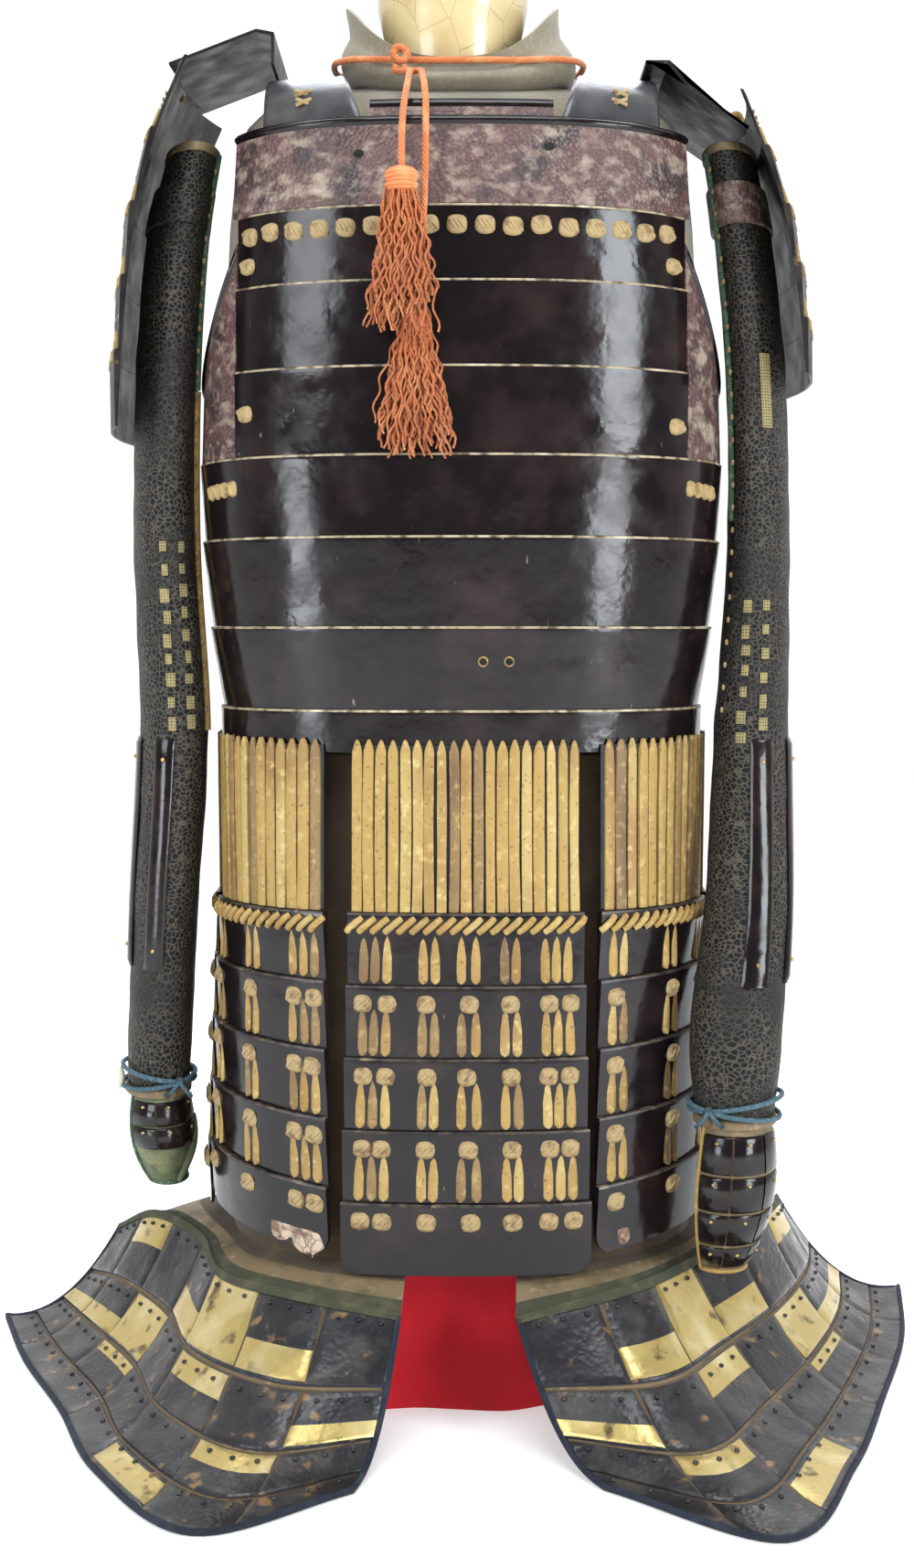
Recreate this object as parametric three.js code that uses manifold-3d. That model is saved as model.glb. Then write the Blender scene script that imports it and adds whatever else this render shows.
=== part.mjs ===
// A Japanese lamellar armour, shown on a limbless dress form with a red cloth-covered stand.
// Millimetres, +Z up. The front faces -Y and +X is to the right of someone who looks at it.
// The origin is on the floor, under the middle of the form's stand.
import * as THREE from 'three';
import { mergeVertices } from 'three/addons/utils/BufferGeometryUtils.js';
import Module from 'manifold-3d';

const wasm = await Module();
wasm.setup();

// Driving sizes
const SEAM = 0.3;
const LAME_WALL = 2;
const LAME_LIP = 2.2;
const CLOTH_WALL = 2;
const PLATE_WALL = 1.8;
const BODY_POWER = 2.6;
const SIDE_TURN = 89.99;
const ARMHOLE_TURN = 53;

// The cuirass, ring by ring: half its width, and its reach to the front and to the back.
const CUIRASS = [
  { z: 440, halfWidth: 171, front: 131, back: 124 },
  { z: 472, halfWidth: 169, front: 130, back: 124 },
  { z: 527, halfWidth: 176, front: 135, back: 130 },
  { z: 586, halfWidth: 181, front: 138, back: 134 },
  { z: 639, halfWidth: 182, front: 138, back: 136 },
  { z: 696, halfWidth: 180, front: 136, back: 136 },
  { z: 751, halfWidth: 176, front: 133, back: 134 },
  { z: 802, halfWidth: 170, front: 130, back: 130 },
  { z: 870, halfWidth: 162, front: 124, back: 120 },
];
const LAME_TOPS = [799, 751, 696, 639, 586, 527, 472];
const LAME_FLOOR = 444;
const CHEST_PLATE = { bottom: 799.3, top: 856, turn: 59 };
const THROAT_PLATE = { bottom: 848, top: 870, halfWidth: 60.5, out: -3.7 };
const BACK_PLATE = { bottom: 799.3, top: 868, turn: 56 };

// The dress form's body, ring by ring.
const FORM = [
  { z: 190.3, halfWidth: 138, front: 112, back: 112 },
  { z: 330, halfWidth: 143, front: 112, back: 112 },
  { z: 450, halfWidth: 147, front: 111, back: 110 },
  { z: 560, halfWidth: 164, front: 122, back: 120 },
  { z: 700, halfWidth: 168, front: 122, back: 122 },
  { z: 800, halfWidth: 163, front: 112, back: 114 },
  { z: 850, halfWidth: 158, front: 96, back: 100 },
  { z: 872, halfWidth: 151, front: 82, back: 86 },
  { z: 886, halfWidth: 138, front: 64, back: 68 },
  { z: 896, halfWidth: 118, front: 40, back: 44 },
  { z: 900.6, halfWidth: 96, front: 13, back: 14 },
];
const STAND = { height: 190, halfWidth: 150, depth: 134, topShare: 0.93, gathers: 14, gatherDepth: 3.5 };
const NECK = { x: -6, bottom: 901, top: 990 };
const COLLAR = {
  lift: 1.4, height: 56, frontDip: 34, foot: 76, footDepth: 60, bulge: 8, topHalf: 74, topDepth: 60,
};

// The two shoulder straps.
const STRAP = { z: 846, rise: 57.3, inner: 62, innerTop: 80, outer: 132, tuck: 5 };

// The skirt of seven tassets, each of five lames, hung on leather strips.
const TASSET_RING_TOP = { z: 340, halfWidth: 172, front: 149, back: 146 };
const TASSET_RING_FOOT = { z: 103, halfWidth: 182, front: 166, back: 162 };
const TASSETS = [
  { name: 'front', middle: 3, width: 154, footWidth: 166, foot: 103, slant: 0 },
  { name: 'front_right', middle: 151, width: 118, footWidth: 124, foot: 122, slant: 9 },
  { name: 'side_right', middle: 285, width: 118, footWidth: 124, foot: 122, slant: 3 },
  { name: 'back_right', middle: 420, width: 122, footWidth: 126, foot: 120, slant: 0 },
  { name: 'back_left', middle: -422, width: 122, footWidth: 126, foot: 120, slant: 0 },
  { name: 'side_left', middle: -285, width: 118, footWidth: 124, foot: 122, slant: -3 },
  { name: 'front_left', middle: -150, width: 118, footWidth: 124, foot: 122, slant: -9 },
];
const TASSET_LAMES = 5;
const TASSET_LIP = 3.4;
const STRIP = { pitch: 10.2, wall: 1.2, ridge: 1.3 };
const STRIP_RING_TOP = { z: 453, halfWidth: 173.2, front: 133.2, back: 126.2 };
const STRIP_RING_FOOT = { z: 340.4, halfWidth: 172, front: 149, back: 146 };

// The sleeves, ring by ring down each arm: middle of the ring and half its width and depth.
const LEFT_SLEEVE = [
  { z: 855, x: -188, y: -12, halfWidth: 18, halfDepth: 46 },
  { z: 800, x: -199, y: -18, halfWidth: 21, halfDepth: 48 },
  { z: 700, x: -206.5, y: -24, halfWidth: 22, halfDepth: 48 },
  { z: 582, x: -208, y: -28, halfWidth: 22.5, halfDepth: 46 },
  { z: 452, x: -203, y: -32, halfWidth: 24, halfDepth: 44 },
  { z: 340, x: -209, y: -38, halfWidth: 23.5, halfDepth: 42 },
  { z: 255, x: -213, y: -42, halfWidth: 23, halfDepth: 38 },
  { z: 200, x: -215, y: -45, halfWidth: 22, halfDepth: 34 },
];
const RIGHT_SLEEVE = [
  { z: 855, x: 188, y: -12, halfWidth: 18, halfDepth: 46 },
  { z: 800, x: 197, y: -18, halfWidth: 20, halfDepth: 47 },
  { z: 700, x: 206.5, y: -25, halfWidth: 21, halfDepth: 46 },
  { z: 582, x: 208.5, y: -32, halfWidth: 22, halfDepth: 44 },
  { z: 452, x: 202, y: -52, halfWidth: 26, halfDepth: 42 },
  { z: 340, x: 195, y: -90, halfWidth: 29, halfDepth: 33 },
  { z: 255, x: 183, y: -128, halfWidth: 31, halfDepth: 31 },
  { z: 200, x: 181, y: -140, halfWidth: 26, halfDepth: 28 },
];
const SLEEVE_LEVELS = [855, 828, 827, 801, 800, 730, 640, 550, 451, 450, 370, 290, 289, 240, 200];
const SLEEVE_WALL = 2.5;
const SLEEVE_LEAN = 10;
const SLEEVE_COLUMNS = 16;
const CAP_BAND = { top: 827, bottom: 801, raise: 2 };
const SPLINTS = { top: 450, bottom: 290, raise: 2.4, turns: [20, 87.5, 155] };

// The shoulder guards, lame by lame.
const LEFT_GUARD = [
  { z: 902, x: 197 }, { z: 856, x: 217 }, { z: 808, x: 231 },
  { z: 760, x: 238 }, { z: 711, x: 243 }, { z: 660, x: 246 },
];
const RIGHT_GUARD = [
  { z: 880, x: 200 }, { z: 844, x: 215 }, { z: 806, x: 229 },
  { z: 768, x: 237 }, { z: 732, x: 242 }, { z: 695, x: 246 },
];
const GUARD = { halfDepth: 98, bow: 15, lip: 3 };

// The outlines of the lacquered wings over the shoulders: (x, z) points, seen from the front.
const WING_HALF_DEPTH = 68;
const LEFT_WING = [
  [126, 903.75], [126, 925], [138, 927.2], [197, 907], [196.5, 905], [138, 925], [128, 923], [128, 903.75],
];
const RIGHT_WING = [
  [124, 903.75], [124, 906.6], [140, 906.6], [152, 894], [194, 865], [193, 863], [151, 892], [139, 903.75],
];

// The thigh apron, fold by fold from its front edge to its back edge. Turns are measured
// from the front in degrees, and reaches from the middle of the stand, at the top of the
// plates (the knee) and at the hem, which lies on the floor.
const LEFT_FLAP = [
  { waistTurn: 8, kneeTurn: 11.5, kneeReach: 196, kneeLift: 88, hemTurn: 14, hemReach: 272 },
  { waistTurn: 28, kneeTurn: 31, kneeReach: 200, kneeLift: 94, hemTurn: 26, hemReach: 358 },
  { waistTurn: 50, kneeTurn: 53, kneeReach: 200, kneeLift: 92, hemTurn: 44, hemReach: 328 },
  { waistTurn: 66, kneeTurn: 73, kneeReach: 190, kneeLift: 98, hemTurn: 63, hemReach: 302 },
  { waistTurn: 84, kneeTurn: 89, kneeReach: 222, kneeLift: 100, hemTurn: 82, hemReach: 316 },
  { waistTurn: 102, kneeTurn: 100, kneeReach: 262, kneeLift: 74, hemTurn: 98, hemReach: 350 },
];
const RIGHT_FLAP = [
  { waistTurn: 8, kneeTurn: 10.6, kneeReach: 190, kneeLift: 84, hemTurn: 18.5, hemReach: 274 },
  { waistTurn: 28, kneeTurn: 32, kneeReach: 196, kneeLift: 96, hemTurn: 29.5, hemReach: 380 },
  { waistTurn: 48, kneeTurn: 51, kneeReach: 188, kneeLift: 96, hemTurn: 47, hemReach: 336 },
  { waistTurn: 66, kneeTurn: 70, kneeReach: 206, kneeLift: 106, hemTurn: 68, hemReach: 310 },
  { waistTurn: 84, kneeTurn: 90, kneeReach: 228, kneeLift: 106, hemTurn: 90, hemReach: 326 },
  { waistTurn: 102, kneeTurn: 108, kneeReach: 256, kneeLift: 88, hemTurn: 108.5, hemReach: 368 },
];
const FLAP_WAIST = 441;
const FLAP_THIGH = { z: 106, halfWidth: 166, front: 148, back: 144 };
const FLAP_SETTLE = 2.2;
const FLAP_COLUMNS = 15;
const FLAP_DOWNS = [-2, -1.5, -1, 0, 0.14, 0.27, 0.4, 0.52, 0.64, 0.76, 0.88, 1];
const PLATE_ROWS = [
  { name: 'a', from: 0, to: 0.27 },
  { name: 'b', from: 0.27, to: 0.52 },
  { name: 'c', from: 0.52, to: 0.76 },
  { name: 'd', from: 0.76, to: 1 },
];
const ROW_SEAM = 0.004;
const ROW_TILT = 2.2;

// The orange cord round the collar, and its two tassels.
const CORD_RADIUS = 2.2;
const CORD_HEIGHT = { front: 908, back: 929, off: 1.9 };
const KNOT = { turn: -19, half: [8, 5.5, 7], out: 11.6 };
const TASSEL_CORD_STARTS = { upper: [-3.2, 0, -7.3], lower: [3.2, 0, -7.3] };
const TASSEL_CORD_ROUTES = {
  upper: [
    [-34, -92, 893], [-34, -108, 888], [-35, -126, 876], [-37, -142, 858], [-38, -152, 838], [-38, -158, 816.6],
  ],
  lower: [
    [-27, -92, 893], [-26, -109, 887], [-24, -128, 874], [-23, -137.5, 855], [-24, -139.5, 800],
    [-28, -144.5, 736.6],
  ],
};
const TASSEL_STRANDS = 20;
const TASSELS = [
  {
    name: 'upper', x: -38, y: -158, footY: -164, headTop: 816, headRadius: 11, headHeight: 15, foot: 712,
    spread: 25, depth: 8,
  },
  {
    name: 'lower', x: -30, y: -144.5, footY: -152, headTop: 736, headRadius: 7, headHeight: 13, foot: 634,
    spread: 29, depth: 7,
  },
];

const radians = THREE.MathUtils.degToRad;
const lerp = THREE.MathUtils.lerp;
const steps = (count) => Array.from({ length: count + 1 }, (_, i) => i / count);

// Every column of a table of sections, read between its rows at a height.
function sectionAt(table, z) {
  const rows = [...table].sort((a, b) => a.z - b.z);
  const level = THREE.MathUtils.clamp(z, rows[0].z, rows[rows.length - 1].z);
  const above = Math.max(1, rows.findIndex((row) => row.z >= level));
  const [low, high] = [rows[above - 1], rows[above]];
  const share = (level - low.z) / (high.z - low.z);
  return Object.fromEntries(Object.keys(low).map((key) => [key, lerp(low[key], high[key], share)]));
}

const powered = (value, power) => Math.sign(value) * Math.abs(value) ** power;

// A point on a body ring. Turn 0 is the middle of the front and 90 is the right side.
function ringPoint(section, turn, z, out = 0) {
  const across = powered(Math.sin(radians(turn)), 2 / BODY_POWER);
  const forward = powered(Math.cos(radians(turn)), 2 / BODY_POWER);
  const reach = forward > 0 ? section.front : section.back;
  return new THREE.Vector3(across * (section.halfWidth + out), -forward * (reach + out), z);
}

// The turn at which a ring has been followed for a length from the middle of the front.
function turnAtLength(section, length) {
  let followed = 0;
  let last = ringPoint(section, 0, 0);
  for (let turn = 1; turn <= 180; turn += 1) {
    const next = ringPoint(section, turn, 0);
    const step = next.distanceTo(last);
    if (followed + step >= Math.abs(length)) {
      return Math.sign(length) * (turn - 1 + (Math.abs(length) - followed) / step);
    }
    followed += step;
    last = next;
  }
  return Math.sign(length) * 180;
}

// A closed wall between two grids of points. Rows run down it and columns run across it.
function wall(outer, inner, wraps = false) {
  const rows = outer.length;
  const columns = outer[0].length;
  const positions = [...outer.flat(), ...inner.flat()].flatMap((p) => [p.x, p.y, p.z]);
  const at = (row, column, side) => side * rows * columns + row * columns + (column % columns);
  const index = [];
  const quad = (a, b, c, d) => index.push(a, b, c, a, c, d);
  const spans = wraps ? columns : columns - 1;
  for (let c = 0; c < spans; c += 1) {
    for (let r = 0; r < rows - 1; r += 1) {
      quad(at(r, c, 0), at(r + 1, c, 0), at(r + 1, c + 1, 0), at(r, c + 1, 0));
      quad(at(r, c, 1), at(r, c + 1, 1), at(r + 1, c + 1, 1), at(r + 1, c, 1));
    }
    const foot = rows - 1;
    quad(at(0, c, 0), at(0, c + 1, 0), at(0, c + 1, 1), at(0, c, 1));
    quad(at(foot, c, 0), at(foot, c, 1), at(foot, c + 1, 1), at(foot, c + 1, 0));
  }
  for (let r = 0; !wraps && r < rows - 1; r += 1) {
    const end = columns - 1;
    quad(at(r, 0, 0), at(r, 0, 1), at(r + 1, 0, 1), at(r + 1, 0, 0));
    quad(at(r, end, 0), at(r + 1, end, 0), at(r + 1, end, 1), at(r, end, 1));
  }
  return facingOut(positions, index);
}

// A closed solid through rings of points, with a flat or pointed cap at each end.
function loft(rings) {
  const columns = rings[0].length;
  const positions = rings.flat().flatMap((p) => [p.x, p.y, p.z]);
  const index = [];
  for (let r = 0; r < rings.length - 1; r += 1) {
    for (let c = 0; c < columns; c += 1) {
      const [a, b] = [r * columns + c, r * columns + ((c + 1) % columns)];
      index.push(a, a + columns, b + columns, a, b + columns, b);
    }
  }
  const foot = (rings.length - 1) * columns;
  for (let c = 1; c < columns - 1; c += 1) {
    index.push(0, c, c + 1, foot, foot + c + 1, foot + c);
  }
  return facingOut(positions, index);
}

// Builds the geometry, and turns its faces round if they point inwards.
function facingOut(positions, index) {
  const corner = (i) => new THREE.Vector3(...positions.slice(3 * i, 3 * i + 3));
  let volume = 0;
  for (let i = 0; i < index.length; i += 3) {
    const [a, b, c] = [corner(index[i]), corner(index[i + 1]), corner(index[i + 2])];
    volume += a.dot(b.cross(c));
  }
  const ordered = volume < 0 ? index.slice().reverse() : index;
  return new THREE.BufferGeometry()
    .setAttribute('position', new THREE.Float32BufferAttribute(positions, 3))
    .setIndex(ordered);
}

// A wall on a surface that takes (u, v, out). The outs say how far each face lies from it.
function panel(surface, us, vs, innerOut, outerOut, wraps = false) {
  const face = (out) => vs.map((v) => us.map((u) => surface(u, v, out(u, v))));
  return wall(face(outerOut), face(innerOut), wraps);
}

function solidOf(geometry) {
  const bare = geometry.clone();
  bare.deleteAttribute('normal');
  bare.deleteAttribute('uv');
  const merged = mergeVertices(bare, 1e-4);
  return new wasm.Manifold(new wasm.Mesh({
    numProp: 3,
    vertProperties: new Float32Array(merged.attributes.position.array),
    triVerts: new Uint32Array(merged.index.array),
  }));
}

// One body made of several geometries that run into each other.
function joined(geometries) {
  const [first, ...others] = geometries.map(solidOf);
  const mesh = others.reduce((sum, next) => sum.add(next), first).getMesh();
  return new THREE.BufferGeometry()
    .setAttribute('position', new THREE.Float32BufferAttribute(mesh.vertProperties, 3))
    .setIndex([...mesh.triVerts]);
}

const finishes = {
  lacquer: { color: 0x16100f, roughness: 0.18, metalness: 0 },
  agedLacquer: { color: 0x2e2c2d, roughness: 0.35, metalness: 0 },
  grainedLeather: { color: 0x5a3a34, roughness: 0.55, metalness: 0 },
  smokedLeather: { color: 0xb98f45, roughness: 0.7, metalness: 0 },
  mail: { color: 0x24241f, roughness: 0.6, metalness: 0.4 },
  apronCloth: { color: 0x4a3620, roughness: 0.9, metalness: 0 },
  formCloth: { color: 0x7b7460, roughness: 0.95, metalness: 0 },
  redCloth: { color: 0xb3202c, roughness: 0.9, metalness: 0 },
  ivory: { color: 0xd9c995, roughness: 0.35, metalness: 0 },
  silk: { color: 0xd9683a, roughness: 0.6, metalness: 0 },
};

const armour = new THREE.Group();

function place(name, geometry, finish) {
  const mesh = new THREE.Mesh(geometry, new THREE.MeshStandardMaterial(finishes[finish]));
  mesh.name = name;
  armour.add(mesh);
}

const cuirass = (turn, z, out) => ringPoint(sectionAt(CUIRASS, z), turn, z, out);
const turnsBetween = (from, to, count) => steps(count).map((share) => lerp(from, to, share));

// The stand is a drum under red cloth, gathered in soft folds towards the floor.
function stand() {
  const levels = [STAND.height, 90, 40, 0];
  const turns = turnsBetween(0, 360, 42).slice(0, -1);
  return loft(levels.map((z) => turns.map((turn) => {
    const share = 1 - z / STAND.height;
    const fold = STAND.gatherDepth * share ** 2 * Math.sin(radians(turn * STAND.gathers));
    const size = lerp(STAND.topShare, 1, share);
    const section = { halfWidth: STAND.halfWidth * size, front: STAND.depth * size, back: STAND.depth * size };
    return ringPoint(section, turn, z, fold);
  })));
}

function formBody() {
  const turns = turnsBetween(0, 360, 24).slice(0, -1);
  return loft([...FORM].reverse().map((section) => turns.map((turn) => ringPoint(section, turn, section.z))));
}

// The height of the form's shoulders under a point.
function formTop(x, y) {
  const outside = (section) => (Math.abs(x) / section.halfWidth) ** BODY_POWER
    + (Math.abs(y) / (y < 0 ? section.front : section.back)) ** BODY_POWER > 1;
  let [low, high] = [850, FORM[FORM.length - 1].z];
  for (let i = 0; i < 24; i += 1) {
    const middle = (low + high) / 2;
    if (outside(sectionAt(FORM, middle))) high = middle;
    else low = middle;
  }
  return high;
}

// A turned neck with a rounded top, cut flat where it meets the shoulders.
function neck() {
  const profile = [
    [0, NECK.bottom], [46, NECK.bottom], [46, 915], [48, 938], [53, 962], [52, 976], [44, 986],
    [24, NECK.top], [0, NECK.top],
  ];
  return new THREE.LatheGeometry(profile.map(([r, z]) => new THREE.Vector2(r, z)), 16)
    .rotateX(Math.PI / 2)
    .translate(NECK.x, 0, 0);
}

// The standing collar is a ring of cloth that dips in the front.
function collarPoint(turn, share, out) {
  const swell = COLLAR.bulge * Math.sin(Math.PI * Math.min(1, share * 1.6));
  const section = {
    halfWidth: lerp(COLLAR.foot, COLLAR.topHalf, share) + swell,
    front: lerp(COLLAR.footDepth, COLLAR.topDepth, share) + swell,
    back: lerp(COLLAR.footDepth, COLLAR.topDepth, share) + swell,
  };
  const foot = ringPoint({ halfWidth: COLLAR.foot, front: COLLAR.footDepth, back: COLLAR.footDepth }, turn, 0);
  const dip = COLLAR.frontDip * Math.max(0, Math.cos(radians(turn))) ** 2;
  const point = ringPoint(section, turn, 0, out);
  point.x += NECK.x * share;
  point.z = formTop(foot.x, foot.y) + COLLAR.lift + share * (COLLAR.height - dip);
  return point;
}

function collar() {
  const turns = turnsBetween(0, 360, 24).slice(0, -1);
  return panel(collarPoint, turns, steps(3), () => -CLOTH_WALL, () => 0, true);
}

// The lames' upper edges stand proud, and their lower edges lie flush behind the next one.
function frontLame(number) {
  const top = LAME_TOPS[number];
  const bottom = number + 1 < LAME_TOPS.length ? LAME_TOPS[number + 1] + SEAM : LAME_FLOOR;
  const half = number < 3 ? ARMHOLE_TURN : SIDE_TURN;
  const outer = (_, z) => (z === top ? LAME_LIP : 0);
  return panel(cuirass, turnsBetween(-half, half, number < 3 ? 12 : 16), [top, bottom], () => -LAME_WALL, outer);
}

// The armhole's edge on the back: how far round the body the back reaches at a height.
function backHalfTurn(z) {
  const edge = [
    { z: 640, turn: SIDE_TURN }, { z: 690, turn: 82 }, { z: 730, turn: 66 },
    { z: 775, turn: 57 }, { z: 802, turn: 54 },
  ];
  return sectionAt(edge, z).turn;
}

// The back is one riveted shell with the same seven steps as the front.
function backShell() {
  const levels = LAME_TOPS.flatMap((top, i) => [
    { z: top, out: LAME_LIP },
    { z: (LAME_TOPS[i + 1] ?? LAME_FLOOR - SEAM) + SEAM, out: 0 },
  ]);
  const surface = (share, level, out) => {
    const half = backHalfTurn(level.z);
    return cuirass(lerp(180 - half, 180 + half, share), level.z, out);
  };
  return panel(surface, steps(14), levels, () => -LAME_WALL, (_, level) => level.out);
}

// The grained leather plate under each arm, from the lames' edge round to the side.
function armpitPlate(side) {
  const top = (share) => lerp(782, 690, Math.sin(share * Math.PI / 2));
  const surface = (share, down, out) => {
    const z = lerp(top(share), LAME_TOPS[3] + SEAM, down);
    return cuirass(side * lerp(ARMHOLE_TURN + 0.35, SIDE_TURN, share), z, out);
  };
  const rim = (_, down) => (down === 0 ? 3 : 1);
  return panel(surface, steps(8), [0, 0.06, 0.5, 1], () => -LAME_WALL, rim);
}

// The chest plate, with a thick turned rim along its top.
function chestPlate() {
  const { bottom, top, turn } = CHEST_PLATE;
  const rim = (_, z) => (z > top - 6 ? 3.4 : LAME_LIP);
  const levels = [top, top - 5.5, top - 6.5, bottom];
  return panel(cuirass, turnsBetween(-turn, turn, 16), levels, () => -LAME_WALL, rim);
}

function throatPlate() {
  const { bottom, top, halfWidth, out } = THROAT_PLATE;
  const section = sectionAt(CUIRASS, bottom);
  const surface = (x, z, extra) => {
    const inward = (z - bottom) * 0.45;
    const y = (section.front + out) * (1 - (Math.abs(x) / section.halfWidth) ** BODY_POWER) ** (1 / BODY_POWER);
    return new THREE.Vector3(x, -(y - inward + extra), z);
  };
  const xs = turnsBetween(-halfWidth, halfWidth, 8);
  const rim = (_, z) => (z > top - 4.5 ? 2.2 : 1);
  return panel(surface, xs, [top, top - 4, top - 5, bottom], () => -LAME_WALL, rim);
}

function backPlate() {
  const { bottom, top, turn } = BACK_PLATE;
  const rim = (_, z) => (z > top - 6 ? 3.4 : LAME_LIP);
  const levels = [top, top - 5.5, top - 6.5, bottom];
  return panel(cuirass, turnsBetween(180 - turn, 180 + turn, 14), levels, () => -LAME_WALL, rim);
}

// A shoulder strap arches from behind the chest plate to the back plate.
function shoulderStrap(side) {
  const surface = (across, along, out) => {
    const angle = Math.PI * along;
    const lift = Math.sin(angle) ** 0.8;
    const z = STRAP.z + (STRAP.rise + out) * lift;
    const section = sectionAt(CUIRASS, z);
    const x = lerp(lerp(STRAP.inner, STRAP.innerTop, lift), STRAP.outer, across);
    const narrowing = (1 - (x / section.halfWidth) ** BODY_POWER) ** (1 / BODY_POWER);
    const reach = (Math.cos(angle) > 0 ? section.front : section.back) - STRAP.tuck;
    const y = -powered(Math.cos(angle), 0.8) * (reach * narrowing + out);
    return new THREE.Vector3(side * x, y, z);
  };
  return panel(surface, steps(3), steps(12), () => -LAME_WALL, () => 0);
}

// A lacquered wing across the shoulder carries the shoulder guard.
function shoulderWing(side, outline) {
  const shape = new THREE.Shape(outline.map(([x, z]) => new THREE.Vector2(side * x, z)));
  return new THREE.ExtrudeGeometry(shape, { depth: 2 * WING_HALF_DEPTH, bevelEnabled: false })
    .rotateX(Math.PI / 2)
    .translate(0, WING_HALF_DEPTH, 0);
}

// A tasset's surface: share runs across it, z down it, and out away from the body.
function tassetSurface(tasset) {
  return (share, z, out) => {
    const down = (TASSET_RING_TOP.z - z) / (TASSET_RING_TOP.z - TASSET_RING_FOOT.z);
    const ring = sectionAt([TASSET_RING_TOP, TASSET_RING_FOOT], z);
    const width = lerp(tasset.width, tasset.footWidth, down);
    const turn = turnAtLength(ring, tasset.middle + (share - 0.5) * width);
    return ringPoint(ring, turn, z + tasset.slant * (share - 0.5) * 2 * down, out);
  };
}

// Five laced lames. Each one's upper edge stands proud in front of the one above it.
function tassetPiece(tasset) {
  const pitch = (TASSET_RING_TOP.z - tasset.foot) / TASSET_LAMES;
  const levels = steps(TASSET_LAMES).slice(0, -1).flatMap((share) => {
    const top = lerp(TASSET_RING_TOP.z, tasset.foot, share);
    return [{ z: top, out: TASSET_LIP }, { z: top - pitch + SEAM, out: 0 }];
  });
  const surface = tassetSurface(tasset);
  const atLevel = (share, level, out) => surface(share, level.z, out);
  return panel(atLevel, steps(5), levels, () => -LAME_WALL, (_, level) => level.out);
}

// The leather strips that hang a tasset from the cuirass, side by side.
function hangingStrips(tasset) {
  const surface = (length, z, out) => {
    const ring = sectionAt([STRIP_RING_TOP, STRIP_RING_FOOT], z);
    return ringPoint(ring, turnAtLength(ring, length), z, out);
  };
  const count = Math.round(tasset.width / STRIP.pitch);
  const half = (count * STRIP.pitch) / 2;
  const edges = turnsBetween(tasset.middle - half, tasset.middle + half, count * 2);
  const ridged = (length) => (edges.indexOf(length) % 2 ? STRIP.ridge : 0);
  return panel(surface, edges, [STRIP_RING_TOP.z, STRIP_RING_FOOT.z], () => -STRIP.wall, ridged);
}

// How far a sleeve's outer face is raised for its leather cap and its lacquered splints.
function sleeveRaise(turn, z) {
  if (z <= CAP_BAND.top && z >= CAP_BAND.bottom) return CAP_BAND.raise;
  const inSplints = z <= SPLINTS.top && z >= SPLINTS.bottom;
  return inSplints && SPLINTS.turns.some((middle) => Math.abs(turn - middle) < 1) ? SPLINTS.raise : 0;
}

function sleevePoint(table, side, turn, z, out) {
  const ring = sectionAt(table, z);
  const lean = radians(SLEEVE_LEAN) * side;
  const x = side * Math.sin(radians(turn)) * (ring.halfWidth + out);
  const y = -Math.cos(radians(turn)) * (ring.halfDepth + out);
  return new THREE.Vector3(
    ring.x + x * Math.cos(lean) + y * Math.sin(lean),
    ring.y - x * Math.sin(lean) + y * Math.cos(lean),
    z,
  );
}

// An open tube of cloth and mail, with the tie that hangs it under the shoulder wing.
function sleeve(table, side, tieTop) {
  const surface = (turn, z, out) => sleevePoint(table, side, turn, z, out);
  const turns = turnsBetween(-160, 200, SLEEVE_COLUMNS).slice(0, -1);
  const tube = panel(surface, turns, SLEEVE_LEVELS, () => -SLEEVE_WALL, sleeveRaise, true);
  const front = sleevePoint(table, side, 0, SLEEVE_LEVELS[0], -SLEEVE_WALL / 2);
  const tie = new THREE.BoxGeometry(8, 2, tieTop - 845)
    .translate(front.x, front.y, (tieTop + 845) / 2);
  return joined([tube, tie]);
}

// The guard over the back of the hand: an open, curled shell below the cuff.
function handGuard(table, side, { from, to, length, curl }) {
  const cuff = SLEEVE_LEVELS[SLEEVE_LEVELS.length - 1];
  const surface = (turn, down, out) => {
    const point = sleevePoint(table, side, turn, cuff - SEAM, out - SLEEVE_WALL + 1);
    const middle = sectionAt(table, cuff);
    const size = 1 + 0.16 * Math.sin(down * Math.PI) - 0.34 * down ** 3;
    point.x = middle.x + (point.x - middle.x) * size - side * curl * down ** 2;
    point.y = middle.y + (point.y - middle.y) * size;
    point.z -= length * down;
    return point;
  };
  return panel(surface, turnsBetween(from, to, 8), steps(4), () => -1.6, () => 0.4);
}

// A shoulder guard: five bowed lames, each lower one proud of the one above, and its thong.
function shoulderGuard(table, side, thong) {
  const surface = (share, z, out) => {
    const { x } = sectionAt(table, z);
    return new THREE.Vector3(side * (x - GUARD.bow * share ** 2 + out), share * GUARD.halfDepth, z);
  };
  const levels = table.slice(0, -1).flatMap((row, i) => [
    { z: row.z, out: i > 0 ? GUARD.lip : 0 },
    { z: table[i + 1].z + SEAM, out: 0 },
  ]);
  const atLevel = (share, level, out) => surface(share, level.z, out);
  const lames = panel(atLevel, turnsBetween(-1, 1, 6), levels, () => -PLATE_WALL, (_, level) => level.out);
  const route = new THREE.CatmullRomCurve3(thong.map(([x, z]) => new THREE.Vector3(side * x, 0, z)));
  const corners = [[-4, -1], [4, -1], [4, 1], [-4, 1]];
  const section = new THREE.Shape(corners.map(([x, y]) => new THREE.Vector2(x, y)));
  const strap = new THREE.ExtrudeGeometry(section, { steps: 6, extrudePath: route });
  return joined([lames, strap]);
}

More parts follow.
